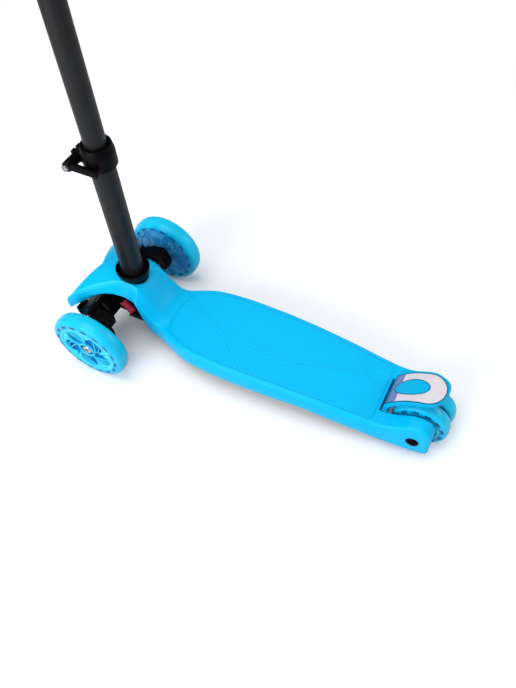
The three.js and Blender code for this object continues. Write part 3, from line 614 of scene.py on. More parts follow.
@dataclass(frozen=True)
class ClearTyre(Finish):
    """Translucent cast tyre with a little subsurface light: deeper in tone towards the core and
    paler on the tread, where the paleness is a painted highlight, with a ring of short dark pegs
    where it grips the core.

    Args:
        centre: middle of the wheel, in metres of the row frame.
        peg_ring: radius of the ring of pegs in millimetres.
        peg_count: how many pegs.
        reach: the tyre's outer radius in millimetres.
    """

    centre: Triple = (0.0, 0.0, 0.0)
    peg_ring: float = 47.5
    peg_count: int = 16
    reach: float = 60.0

    def sockets(self, shader: Shader) -> dict:
        """Values and signals for the Principled shader's sockets.

        Args:
            shader: the material's tree.

        Returns:
            The sockets' values by name.
        """
        point = shader.place(self.centre)
        _, y, z = shader.parts(point)
        ring = (y * y + z * z) ** 0.5
        turn = (y.math("ARCTAN2", z) * (self.peg_count / (2 * math.pi))).math("FRACT")
        pitch = 2 * math.pi * self.peg_ring / self.peg_count
        aside = abs(turn - 0.5) * pitch
        peg = (1.0 - aside.step(4.2, 5.0)) * (1.0 - abs(ring - self.peg_ring).step(1.5, 2.3))
        cloud = shader.noise(point, 13.0).step(0.3, 0.7)
        # Painted highlight: the tread is painted paler.
        tread = ring.step(self.reach - 5.0, self.reach - 0.5)
        pale = blend_colour(self.colour, srgb(60, 225, 245), 0.35)
        deep = blend_colour(self.colour, srgb(0, 140, 214), 0.6)
        depth = ring.step(self.peg_ring - 1.0, self.reach - 6.0)
        body = shader.mix(depth * 0.55 + cloud * 0.45, deep, self.colour)
        body = shader.mix(tread * 0.5, body, pale)
        body = shader.mix(peg * 0.9, body, srgb(4, 62, 112))
        peel = shader.noise(point, 1.4)
        return {
            "Base Color": body,
            "Roughness": self.gloss + cloud * 0.05,
            "Normal": shader.bump(peel * 0.03 - peg * 0.4),
            "Subsurface Weight": 0.3,
            "Subsurface Radius": (0.1, 0.6, 1.0),
            "Subsurface Scale": 0.006,
            "Specular IOR Level": 0.22,
        }


@dataclass(frozen=True)
class ClearCore(Finish):
    """Wheel centre in clear blue plastic: pale on the outer face and its raised arcs, with painted
    shade deep in the pockets. The inner face is painted a deeper tint as painted shade, with its
    ribs painted lighter as painted highlight and pale patches as painted glints.

    Args:
        centre: middle of the wheel, in metres of the row frame.
        outward: +1 where the outer face looks along +X and -1 where it looks along -X.
        face: distance from the wheel's middle plane to its faces, in millimetres.
        pocket: depth of the pockets in millimetres.
    """

    centre: Triple = (0.0, 0.0, 0.0)
    outward: float = 1.0
    face: float = 10.3
    pocket: float = 5.5

    def sockets(self, shader: Shader) -> dict:
        """Values and signals for the Principled shader's sockets.

        Args:
            shader: the material's tree.

        Returns:
            The sockets' values by name.
        """
        point = shader.place(self.centre)
        x, _, _ = shader.parts(point)
        out = x * self.outward
        # Painted shade: the outer face is painted deep blue in its pockets.
        raised = out.step(self.face - self.pocket, self.face + 0.3)
        # Painted highlight: the inner face's ribs are painted lighter.
        painted_rib_highlight = (out * -1.0).step(self.face + 0.05, self.face + 0.45)
        cloud = shader.noise(point, 9.0)
        # Painted shade: inner is the deeper tint painted over the whole inner face.
        deep, inner = srgb(4, 96, 182), srgb(14, 126, 200)
        outer = shader.mix(raised * 0.85 + cloud * 0.15, deep, self.colour)
        back = shader.mix(painted_rib_highlight * 0.5 + cloud * 0.4, inner, srgb(40, 172, 232))
        # Painted glints: pale patches on the inner face.
        painted_glint_patch = shader.noise(point, 15.0, 1.0).step(0.5, 0.6)
        back = shader.mix(painted_glint_patch * 0.35, back, srgb(110, 206, 244))
        return {
            "Base Color": shader.mix(out.step(0.0, 1.0), back, outer),
            "Roughness": self.gloss + cloud * 0.06,
            "Normal": shader.bump(cloud * 0.05),
            "Subsurface Weight": 0.15,
            "Subsurface Radius": (0.1, 0.6, 1.0),
            "Subsurface Scale": 0.004,
            "Specular IOR Level": 0.25,
        }


class Grain(Enum):
    """Direction of the fine lines on a metal."""

    TURNED = "turned"
    ALONG = "along"


@dataclass(frozen=True)
class Metal(Finish):
    """Bare metal with fine lines.

    Args:
        grain: which way the lines run.
        line_size: width of a line in millimetres.
        depth: height of the lines in millimetres.
        metallic: share of the light that is mirrored as by a metal.
    """

    grain: Grain = Grain.TURNED
    line_size: float = 0.5
    depth: float = 0.006
    metallic: float = 1.0

    def sockets(self, shader: Shader) -> dict:
        """Values and signals for the Principled shader's sockets.

        Args:
            shader: the material's tree.

        Returns:
            The sockets' values by name.
        """
        point = shader.place()
        x, y, z = shader.parts(point)
        along, around = {Grain.ALONG: (0.04, 1.0), Grain.TURNED: (1.0, 0.12)}[self.grain]
        lines = shader.vector(x * along, y * around, z * around)
        lines = shader.noise(lines, self.line_size)
        stain = shader.noise(point, 14.0, 3.0)
        dark = blend_colour(self.colour, BLACK, 0.3)
        share = (lines * 0.7 + stain * 0.3).step(0.25, 0.7)
        return {
            "Base Color": shader.mix(share, dark, self.colour),
            "Roughness": self.gloss + (lines - 0.5) * 0.2,
            "Metallic": self.metallic,
            "Normal": shader.bump(lines * self.depth),
        }


@dataclass(frozen=True)
class BrushedPlate(Finish):
    """The brake's steel plate: fine brushed arcs with faint coloured sheen that run round its
    rear, and, where it bends down in front, a bluer strip that is a painted reflection.

    Args:
        centre: middle of the arcs, in metres of the row frame.
        bend: place of the bend along Y, in metres of the row frame.
    """

    centre: Triple = (0.0, 0.0, 0.0)
    bend: float = 0.0

    def sockets(self, shader: Shader) -> dict:
        """Values and signals for the Principled shader's sockets.

        Args:
            shader: the material's tree.

        Returns:
            The sockets' values by name.
        """
        point = shader.place(self.centre)
        x, y, _ = shader.parts(point)
        reach = (x * x + y * y) ** 0.5
        angle = y.math("ARCTAN2", x)
        drift = shader.noise(shader.vector(reach * 0.3, angle * 2.0, 0.0), 1.0)
        fan = (angle * 34.0 + reach * 0.5 + drift * 9.0).math("SINE") * 0.5 + 0.5
        rings = shader.noise(shader.vector(reach, angle * 1.5, 0.0), 0.9, 3.0)
        tint = shader.noise(shader.vector(reach * 0.2, angle * 3.0, 0.0), 0.8, 1.0)
        lines = (fan * 0.45 + rings * 0.55).step(0.2, 0.8)
        # Painted reflection: in front of the bend the plate is painted a bluer grey.
        rear = (y + (self.centre[1] - self.bend) / MM).step(-0.8, 0.8)
        rosy = shader.mix(tint.step(0.35, 0.65), srgb(206, 214, 220), srgb(234, 206, 218))
        bright = shader.mix(lines, rosy, self.colour)
        return {
            "Base Color": shader.mix(rear, srgb(122, 130, 176), bright),
            "Roughness": self.gloss + (lines - 0.5) * 0.2,
            "Metallic": 0.25,
            "Specular IOR Level": 0.3,
            "Normal": shader.bump(lines * 0.06),
        }


@dataclass(frozen=True)
class Enamel(Finish):
    """Baked satin paint on metal: very fine orange peel, a little dust in the roughness."""

    def sockets(self, shader: Shader) -> dict:
        """Values and signals for the Principled shader's sockets.

        Args:
            shader: the material's tree.

        Returns:
            The sockets' values by name.
        """
        point = shader.place()
        peel = shader.noise(point, 1.6)
        dust = shader.noise(point, 24.0, 4.0)
        return {
            "Base Color": shader.mix(dust, self.colour, blend_colour(self.colour, WHITE, 0.01)),
            "Roughness": self.gloss + dust * 0.1,
            "Specular IOR Level": 0.24,
            "Coat Weight": 0.05,
            "Coat Roughness": 0.2,
            "Normal": shader.bump(peel * 0.01),
        }


@dataclass(frozen=True)
class SoftRubber(Finish):
    """Soft moulded rubber with a fine pebble grain."""

    pebble: float = 0.05
    pebble_size: float = 0.8

    def sockets(self, shader: Shader) -> dict:
        """Values and signals for the Principled shader's sockets.

        Args:
            shader: the material's tree.

        Returns:
            The sockets' values by name.
        """
        point = shader.place()
        inputs = {"Vector": point, "Scale": 1 / self.pebble_size}
        cells = shader.node("ShaderNodeTexVoronoi", inputs=inputs, output="Distance")
        wear = shader.noise(point, 17.0, 3.0)
        return {
            "Base Color": shader.mix(
                cells.step(0.2, 0.8) * 0.5 + wear * 0.3,
                self.colour,
                blend_colour(self.colour, BLACK, 0.35),
            ),
            "Roughness": self.gloss + wear * 0.12,
            "Specular IOR Level": 0.35,
            "Normal": shader.bump(cells * -self.pebble),
        }


# Making pieces


def add_object(name: str, data: bpy.types.ID) -> bpy.types.Object:
    """A new object in the scene with that mesh, camera or lamp."""
    made = bpy.data.objects.new(name, data)
    bpy.context.scene.collection.objects.link(made)
    return made


class Workshop:
    """Turns skins into pieces of the scooter, in the places of the frame's nodes."""

    def __init__(self, nodes: dict[str, bpy.types.Object]) -> None:
        """Finds where the front axle is in the frame.

        Args:
            nodes: the frame's nodes by name.
        """
        self.nodes = nodes
        low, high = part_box("axle_bolt_left")
        self.axle_y = (low.y + high.y) / 2
        self.materials: dict[str, bpy.types.Material] = {}

    def to_row(self, x: float, y: float, z: float) -> Triple:
        """A place of the scooter's own frame in metres of the row frame."""
        return (x * MM, y * MM + self.axle_y, z * MM)

    def material(self, finish: Finish) -> bpy.types.Material:
        """The material of a finish, made once."""
        if finish.name not in self.materials:
            self.materials[finish.name] = finish.material()
        return self.materials[finish.name]

    def mesh(self, name: str, skin: Skin) -> bpy.types.Mesh:
        """A clean mesh in metres of the row frame, doubles merged and faces outwards.

        Args:
            name: the mesh's name.
            skin: the surface in millimetres of the scooter's own frame.

        Returns:
            The mesh.
        """
        points = skin.points * MM + np.array([0.0, self.axle_y, 0.0])
        made = bpy.data.meshes.new(name)
        made.from_pydata(points.tolist(), [], skin.faces.tolist())
        self.clean(made)
        return made

    @staticmethod
    def clean(mesh: bpy.types.Mesh) -> None:
        """Merges doubles and turns the faces outwards.

        Args:
            mesh: the mesh to mend.
        """
        work = bmesh.new()
        work.from_mesh(mesh)
        bmesh.ops.remove_doubles(work, verts=work.verts, dist=MERGE_DISTANCE)
        bmesh.ops.recalc_face_normals(work, faces=work.faces)
        work.to_mesh(mesh)
        work.free()

    def carved(
        self, name: str, base: Skin, cuts: list[Skin], adds: list[Skin] | None = None
    ) -> bpy.types.Mesh:
        """The base with solids joined to it and then others cut from it.

        Args:
            name: the new mesh's name.
            base: the closed surface to start from.
            cuts: closed surfaces that are cut away.
            adds: closed surfaces that are joined first.

        Returns:
            The resulting mesh.
        """
        main = add_object(name, self.mesh(name, base))
        tools = []
        for operation, skins in (("UNION", adds or []), ("DIFFERENCE", cuts)):
            for skin in skins:
                tool = add_object(name + "_tool", self.mesh(name + "_tool", skin))
                change = main.modifiers.new("carve", "BOOLEAN")
                change.operation, change.object, change.solver = operation, tool, "EXACT"
                tools.append(tool)
        bpy.context.view_layer.update()
        seen = main.evaluated_get(bpy.context.evaluated_depsgraph_get())
        made = bpy.data.meshes.new_from_object(seen)
        for unused in (main, *tools):
            mesh = unused.data
            bpy.data.objects.remove(unused)
            bpy.data.meshes.remove(mesh)
        made.name = name
        made.materials.clear()
        return made

    def copy_of(self, node: str) -> bpy.types.Mesh:
        """The node's mesh with its doubles merged and its flat faces made whole.

        Args:
            node: the node's name.

        Returns:
            The copy.
        """
        made = self.nodes[node].data.copy()
        made.materials.clear()
        work = bmesh.new()
        work.from_mesh(made)
        bmesh.ops.remove_doubles(work, verts=work.verts, dist=CAD_MERGE_DISTANCE)
        bmesh.ops.dissolve_limit(
            work, angle_limit=math.radians(FLAT_DEGREES), verts=work.verts, edges=work.edges
        )
        work.to_mesh(made)
        work.free()
        return made

    def piece(
        self,
        node: str,
        form: Skin | bpy.types.Mesh,
        finish: Finish,
        sharp: float = 35.0,
        edge: float = 0.0,
        extra: str = "",
    ) -> bpy.types.Object:
        """A piece that stands for a node and moves with its body.

        Args:
            node: the node that it stands for.
            form: its surface or mesh.
            finish: its finish.
            sharp: edges that bend more than this many degrees stay sharp.
            edge: width in millimetres of the bevel on sharp edges, 0 for none.
            extra: name of an addition that moves with the node and leaves it shown.

        Returns:
            The piece.
        """
        name = extra or node + "_form"
        mesh = self.mesh(name, form) if isinstance(form, Skin) else form
        made = add_object(name, mesh)
        mesh.materials.append(self.material(finish))
        mesh.polygons.foreach_set("use_smooth", np.ones(len(mesh.polygons), bool))
        if edge > 0:
            bevel = made.modifiers.new("eased edges", "BEVEL")
            bevel.width, bevel.segments = edge * MM, BEVEL_STEPS
            bevel.limit_method, bevel.angle_limit = "ANGLE", math.radians(BEVEL_DEGREES)
            bevel.use_clamp_overlap = True
        else:
            mesh.set_sharp_from_angle(angle=math.radians(sharp))
        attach(made, self.nodes[node]["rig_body"])
        if not extra:
            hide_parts(node)
        log.info("%s: %d faces", name, len(mesh.polygons))
        return made

    def dress(self, node: str, finish: Finish) -> None:
        """Gives a node of the frame its finish."""
        shown = self.nodes[node]
        shown.data.materials.clear()
        shown.data.materials.append(self.material(finish))
        log.info("%s: kept, %s", node, finish.name)


@dataclass(frozen=True)
class Finishes:
    """The scooter's finishes that are not tied to one wheel."""

    deck: DeckMoulding = DeckMoulding(
        "deck blue plastic",
        "deck_blue",
        srgb(0, 179, 232),
        0.3,
        shine=0.1,
        sweeps=(
            (-250.0, 20.0, 262.0),
            (-250.0, 20.0, 269.0),
            (240.0, -190.0, 262.0),
            (240.0, -190.0, 268.0),
            (230.0, 190.0, 244.0),
            (-120.0, 250.0, 134.0),
        ),
    )
    brake: Moulding = Moulding(
        "brake blue plastic", "deck_blue", srgb(0, 166, 214), 0.34, shine=0.1
    )
    # Dark teal rings of painted shade round the brake plate and its tongue.
    painted_shade_ring: Moulding = Moulding("brake seal", "deck_blue", srgb(4, 96, 128), 0.5, shine=0.1)
    black: Moulding = Moulding(
        "black moulding", "black_plastic", srgb(5, 5, 7), 0.42, peel=0.03, peel_size=0.6, shine=0.08
    )
    paint: Enamel = Enamel("black satin paint", "black_paint", srgb(11, 11, 14), 0.36)
    cap: Moulding = Moulding(
        "black cap", "black_plastic", srgb(1, 2, 9), 0.16, peel=0.002, shine=0.04
    )
    blackened: Enamel = Enamel("blackened steel", "steel", srgb(24, 24, 27), 0.34)
    spring: Metal = Metal("oiled spring steel", "steel", srgb(120, 112, 84), 0.35)
    steel: Metal = Metal("zinc plated steel", "steel", srgb(196, 194, 200), 0.3, Grain.ALONG)
    bright: Metal = Metal(
        "polished steel", "steel", srgb(222, 222, 228), 0.18, line_size=0.4, depth=0.002
    )
    bearing: Metal = Metal("bronzed bearing steel", "steel", srgb(112, 104, 88), 0.3, metallic=0.8)
    grip: SoftRubber = SoftRubber("blue grip rubber", "grip_blue", srgb(20, 150, 228), 0.58)
    bush: Moulding = Moulding("red bush", "bush_red", srgb(178, 46, 70), 0.42)


# The deck


@dataclass
class Deck:
    """Blue moulded deck with its nose over the front wheels and its slot for the rear ones.

    Each station is a place, a half width, a crest height, a drop of the crest towards the sides
    and a height of the lower edge.
    """

    stations: Array = field(
        default_factory=lambda: np.array([
            (-75.8, 62.0, 112.0, 32.0, 52.0),
            (-70.1, 60.1, 113.2, 30.0, 57.0),
            (-58.1, 56.1, 115.0, 26.0, 66.5),
            (-39.8, 48.2, 117.5, 23.5, 78.5),
            (-24.0, 44.2, 118.8, 22.6, 90.0),
            (-8.2, 41.1, 119.6, 17.6, 98.0),
            (10.1, 39.3, 120.0, 13.0, 103.0),
            (24.0, 38.3, 119.5, 12.0, 104.0),
            (34.1, 37.6, 115.6, 12.0, 101.0),
            (39.8, 37.3, 111.5, 12.0, 94.0),
            (45.1, 37.3, 107.0, 12.0, 62.0),
            (51.8, 37.6, 98.0, 11.5, 43.0),
            (61.9, 38.6, 83.5, 9.5, 30.0),
            (72.0, 40.1, 71.5, 6.5, 29.0),
            (84.0, 44.2, 65.3, 3.8, 29.0),
            (96.0, 49.2, 63.8, 1.4, 29.0),
            (109.9, 54.8, 64.2, 0.6, 29.0),
            (126.2, 60.4, 64.4, 0.6, 29.0),
            (150.2, 64.0, 64.6, 0.6, 29.0),
            (188.2, 66.0, 64.7, 0.6, 29.0),
            (235.2, 65.5, 64.6, 0.6, 29.0),
            (279.8, 63.4, 64.0, 0.6, 29.0),
            (320.2, 60.9, 62.0, 0.6, 28.6),
            (345.1, 59.4, 60.0, 0.6, 26.0),
            (369.1, 57.9, 57.5, 0.6, 22.0),
            (390.2, 56.2, 55.2, 0.6, 19.6),
            (406.1, 54.8, 54.0, 0.6, 18.0),
            (423.8, 53.4, 53.0, 0.6, 15.0),
            (435.8, 52.3, 54.5, 1.2, 13.6),
            (447.8, 51.3, 59.0, 1.8, 13.0),
            (459.8, 50.4, 66.0, 2.4, 12.0),
            (472.8, 49.2, 73.0, 3.0, 11.0),
            (486.2, 48.1, 74.5, 3.0, 11.0),
            (495.8, 47.2, 71.0, 3.6, 12.0),
            (503.0, 46.5, 62.0, 4.8, 14.0),
        ])
    )
    wall: float = 3.5
    rim: float = 5.0
    bulge: float = 1.2
    crease: float = 0.56
    crease_tip: float = 0.98
    crease_drop: float = 0.22
    crease_ease: float = 0.02
    nose_end: float = 10.1
    nose_sweep: float = 35.0
    skirt_arch: float = 28.0
    nose_round: float = 3.0
    tail_round: float = 4.0
    bulkhead: float = 57.0
    slot_front: float = 424.8
    slot_half: float = 28.6
    slot_round: float = 1.6
    axle_place: float = 480.0
    axle_height: float = 40.0
    cap_radius: float = 9.2
    cap_depth: float = 5.0
    pad_inset: float = 7.5
    pad_front: float = 88.0
    pad_rear: float = 421.0

    def at(self, places: Array) -> Array:
        """The station values at any places."""
        return smooth_between(self.stations[:, 0], self.stations[:, 1:], places)

    def fall(self, u: Array, places: Array) -> Array:
        """Share of the side drop that the top has fallen by at a share u of the half width. With
        c the crease and d its share of the drop: d min(|u| / c, 1)^1.6 + (1 - d) e / (1 - c),
        where e eases from 0 into |u| - c close to the crease. Towards the nose's tip the crease
        runs out to the side and takes all of the drop.

        Args:
            u: shares of the half width.
            places: places of the stations.

        Returns:
            The shares of the drop.
        """
        front = self.stations[0, 0]
        to_tip = np.clip((self.nose_end - places) / (self.nose_end - front), 0, 1) ** 1.3
        crease = np.minimum(self.crease + (self.crease_tip - self.crease) * to_tip, 0.91)
        inside = self.crease_drop + (1 - self.crease_drop) * to_tip
        u = np.clip(np.abs(u), 0, 1)
        past = u - crease
        ease = self.crease_ease
        eased = np.where(past < ease, np.clip(past + ease, 0, None) ** 2 / (4 * ease), past)
        return inside * np.minimum(u / crease, 1) ** 1.6 + (1 - inside) * eased / (1 - crease)

    def beyond_crease(self, x: Array, y: Array) -> Array:
        """Distance beyond the crease along the nose, in millimetres, and far below 0 elsewhere. A
        point's station is found by taking its shift off its place a few times over.

        Args:
            x: places across the deck.
            y: places along it.

        Returns:
            The distances.
        """
        front = self.stations[0, 0]
        places = y
        for _ in range(8):
            half = self.at(places)[:, 0]
            u = np.clip(np.abs(x) / half, 0, 1)
            sweep = np.clip((self.nose_end - places) / (self.nose_end - front), 0, 1)
            places = y - sweep * self.nose_sweep * (1 - u**1.2)
        to_tip = sweep**1.3
        crease = np.minimum(self.crease + (self.crease_tip - self.crease) * to_tip, 0.91)
        fade = ease_between(places, 50.0, 36.0)
        return (np.abs(x) - crease * half) * fade - 30.0 * (1 - fade)

    def loops(
        self, places: Array, inset: Array | float, floor_drop: float = 0.0, fineness: int = 40
    ) -> Array:
        """Cross-section loops. Across the top z = crest - drop fall(u), with u the share of the
        half width; a quarter circle turns over the rim; the side bulges as bulge sin(pi w); below,
        z = low + sweep arch (1 - u^2). In the nose each point moves back by
        sweep (nose_sweep (1 - |u|^1.2) + inset), so the front edge bows in plan.

        Args:
            places: R places along the scooter.
            inset: how far each loop is drawn in.
            floor_drop: how far its lower edge is lowered.
            fineness: steps across half the top.

        Returns:
            R x K x 3 points, the first half over the top from left to right.
        """
        inset = np.broadcast_to(np.asarray(inset, float), places.shape)[:, None]
        half, crest, drop, low = (self.at(places)[:, i : i + 1] for i in range(4))
        half, crest, low = half - inset, crest - inset, low - floor_drop + inset * (floor_drop == 0)
        front = self.stations[0, 0]
        sweep = np.clip((self.nose_end - places) / (self.nose_end - front), 0, 1)[:, None]
        rim = np.maximum(self.rim - inset, self.rim / 4)
        across = np.linspace(0, 1, fineness + 1)[None, :]
        turn = np.linspace(0, np.pi / 2, 7)[None, 1:]
        side = np.linspace(0, 0.5, 4)[None, 1:]

        def run(x: Array, z: Array) -> Array:
            """Points of one run of the loop, moved back in the nose."""
            u = np.clip(np.abs(x) / half, 0, 1)
            shift = sweep * (self.nose_sweep * (1 - u**1.2) + (inset if floor_drop else 0))
            return np.stack([x, places[:, None] + shift, z + 0 * x], axis=-1)

        def top(x: Array) -> Array:
            """Height of the top at x."""
            return crest - drop * self.fall(x / half, places[:, None])

        def floor(x: Array) -> Array:
            """Height of the lower edge at x."""
            return low + sweep * self.skirt_arch * (1 - np.clip(x / half, 0, 1) ** 2)

        flat = across * (half - rim)
        arc = half - rim + rim * np.sin(turn)
        edge = top(half - rim)
        high, deep = edge - rim, floor(half) + rim
        bulged = half + self.bulge * np.sin(np.pi * side)
        upper = np.concatenate(
            [
                run(flat, top(flat)),
                run(arc, edge - rim * (1 - np.cos(turn))),
                run(bulged, high + (deep - high) * side),
            ],
            axis=1,
        )
        share = np.sin(turn)
        under = floor(half - rim) * (1 - share) + floor(half) * share
        lower = np.concatenate(
            [
                run(flat, floor(flat)),
                run(arc, under + rim * (1 - np.cos(turn))),
                run(bulged, deep + (high - deep) * side),
            ],
            axis=1,
        )
        mirror = np.array([-1.0, 1.0, 1.0])
        return np.concatenate(
            [upper[:, :0:-1] * mirror, upper, lower[:, ::-1], lower[:, 1:] * mirror], axis=1
        )

    def outside(self) -> Skin:
        """Outer skin, with quarter-round edges at the nose and the tail: over a turn a the
        loop is drawn in by r (1 - sin a) and stands r (1 - cos a) from the end.

        Returns:
            The closed surface.
        """
        turn = np.linspace(0, np.pi / 2, 7)
        front, rear = self.stations[0, 0], self.stations[-1, 0]
        body = np.linspace(front + self.nose_round, rear - self.tail_round, 216)[1:-1]
        places = np.concatenate(
            [
                front + self.nose_round * (1 - np.cos(turn)),
                body,
                rear - self.tail_round * (1 - np.cos(turn[::-1])),
            ]
        )
        inset = np.concatenate(
            [
                self.nose_round * (1 - np.sin(turn)),
                np.zeros(len(body)),
                self.tail_round * (1 - np.sin(turn[::-1])),
            ]
        )
        return ladder(self.loops(places, inset))

    def hollow(self, start: float, end: float) -> Skin:
        """Room inside the shell between two places, open below."""
        places = np.linspace(start, end, max(12, round((end - start) / 5)))
        return ladder(self.loops(places, self.wall, 12.0, 14))

    def slot(self) -> Skin:
        """Room for the rear wheels, whose walls flare out at the top along a quarter circle:
        height = top - r + sqrt(r^2 - (r - d)^2) at a distance d outside the slot.

        Returns:
            The cutter, open at the tail.
        """
        radius, width = self.slot_round, self.slot_half
        clear, open_level, steps = radius + 0.8, -99.0, 24
        turn = np.linspace(0, np.pi / 2, 6)
        outside = width + radius * (1 - np.cos(turn))
        across = np.concatenate([[0.0, width - 0.04], outside, [width + radius + 0.6]])
        across = np.concatenate([-across[:0:-1], across])
        ahead = radius * (1 - np.cos(turn[::-1]))
        places = np.concatenate([[radius + 0.6], ahead, [0.0]])
        behind = np.linspace(self.slot_front + 4, 515, steps)
        places = np.concatenate([self.slot_front - places, behind])
        opening = np.full(steps + 1, open_level)
        depth = np.concatenate([[clear], radius * np.sin(turn[::-1]), opening])
        distance = np.clip(np.abs(across) - width, 0, None)
        rise = np.sqrt(np.clip(radius**2 - (radius - np.minimum(distance, radius)) ** 2, 0, None))
        rise = np.where(distance > radius, clear, rise)
        rise = np.where(np.abs(across) < width - 1e-6, open_level, rise)
        values = self.at(np.minimum(places, self.stations[-1, 0]))
        top = values[:, 1] - values[:, 2] * self.fall(width / values[:, 0], places)
        level = np.maximum(rise[None, :], depth[:, None])
        z = np.where(level < open_level / 2, -5.0, top[:, None] - radius + level)
        x = np.broadcast_to(across[None, :], z.shape)
        y = np.broadcast_to(places[:, None], z.shape)
        upper = np.stack([x, y, np.full(z.shape, 140.0)], axis=-1)
        lower = np.stack([x, y, z], axis=-1)[:, ::-1]
        return ladder(np.concatenate([upper, lower], axis=1))

    def pad_distance(self, x: Array, y: Array) -> Array:
        """Distance inwards from the outline of the standing area: the least of the distances to
        its sides, to its front, which bows forward in the middle, and to its rear.

        Args:
            x: places across the deck.
            y: places along it.

        Returns:
            The distances, 50 at most.
        """
        half = self.at(y)[:, 0]
        sides = half - self.pad_inset - np.abs(x)
        front = y - self.pad_front - 10.0 * (np.abs(x) / 50.0) ** 2
        rear = self.pad_rear - y
        corner = 7.0
        gaps = np.stack([sides, front, rear])
        short = np.sqrt((np.clip(corner - gaps, 0, None) ** 2).sum(axis=0))
        return np.where(short > 0, corner - short, np.minimum(gaps.min(axis=0), 50.0))

    def build(self, shop: Workshop, finishes: Finishes) -> None:
        """Makes the shell and dresses the plate and screws under it.

        Args:
            shop: makes the pieces.
            finishes: the scooter's finishes.
        """
        round_hole = Placement(tilt=-0.8, offset=(0, 19.0, 0)).place(rod(20.8, 94.0, 140.0))
        axle = (0, self.axle_place, self.axle_height)
        cross = Placement(along_x=True, offset=axle)
        outer = float(self.at(np.array([self.axle_place]))[0, 0])
        pocket = rod(self.cap_radius, outer - self.cap_depth, 90.0, 0.0)
        cuts = [
            self.hollow(self.stations[0, 0], self.bulkhead),
            self.hollow(self.bulkhead + self.wall, self.slot_front - self.wall),
            self.slot(),
            round_hole,
            cross.place(rod(4.3, -90.0, 90.0, 0.0)),
            cross.place(pocket),
            Placement(along_x=True, offset=axle, mirror=True).place(pocket),
        ]
        mesh = shop.carved("deck_shell_form", self.outside(), cuts)
        points = np.empty(len(mesh.vertices) * 3)
        mesh.vertices.foreach_get("co", points)
        points = points.reshape(-1, 3)
        x, y = points[:, 0] / MM, (points[:, 1] - shop.axle_y) / MM
        distance = self.pad_distance(x, y)
        top = self.at(y)
        height = top[:, 1] - top[:, 2] * self.fall(x / top[:, 0], y)
        on_top = np.abs(points[:, 2] / MM - height) < 1.0
        values = np.where(on_top, distance, -20.0).astype(np.float32)
        mesh.attributes.new("pad", "FLOAT", "POINT").data.foreach_set("value", values)
        # The crease attribute places the painted highlight along the nose's crease.
        beyond = self.beyond_crease(x, y).astype(np.float32)
        mesh.attributes.new("crease", "FLOAT", "POINT").data.foreach_set("value", beyond)
        shop.piece("deck_shell", mesh, finishes.deck, sharp=32.0)
        shop.dress("base_plate", finishes.black)
        for number in range(1, 7):
            shop.dress(f"base_screw_{number}", finishes.steel)


# Fasteners


@dataclass(frozen=True)
class Fastener:
    """Bolt or screw with a domed head and a six-sided socket, or a six-sided nut.

    Args:
        shank: radius of the shank, or of the hole in a nut.
        head: radius of the head.
        height: height of the head.
        socket: radius of the driving socket, 0 for none.
    """

    shank: float
    head: float
    height: float
    socket: float = 0.0

    def bolt(self, start: float, seat: float) -> Skin:
        """Shank from start up to seat, with the head above it: a revolved profile whose rows
        in the socket are six-sided.

        Args:
            start: height of the shank's end.
            seat: height of the head's underside.

        Returns:
            The closed surface.
        """
        top = seat + self.height
        ease = min(0.4, self.shank / 4)
        corners = [
            (0, start, 0),
            (self.shank - ease, start, 0),
            (self.shank, start + ease, 0),
            (self.shank, seat, 0),
            (self.head - 0.3, seat, 0),
            (self.head, seat + 0.3, 0),
            (self.head, seat + self.height * 0.45, 0),
            (self.head * 0.96, seat + self.height * 0.68, 0),
            (self.head * 0.86, seat + self.height * 0.87, 0),
            (self.head * 0.72, top, 0),
        ]
        if self.socket:
            deep = top - self.height * 0.6
            corners += [
                (self.socket * 1.12, top, 0),
                (self.socket, top - 0.25, 1),
                (self.socket, deep, 1),
            ]
        corners += [(0, corners[-1][1], 0)]
        table = np.array(corners, float)
        return revolved(table[:, :2], 72, table[:, 2])

    def nut(self, start: float, end: float) -> Skin:
        """Six-sided ring with turned corners between two heights.

        Args:
            start: height of its lower face.
            end: height of its upper face.

        Returns:
            The closed surface.
        """
        ease = (end - start) * 0.14
        corners = [
            (self.shank, start, 0),
            (self.head * 0.86, start, 0),
            (self.head, start + ease, 1),
            (self.head, end - ease, 1),
            (self.head * 0.86, end, 0),
            (self.shank, end, 0),
        ]
        table = np.array(corners, float)
        return revolved(table[:, :2], 72, table[:, 2])


# Wheels


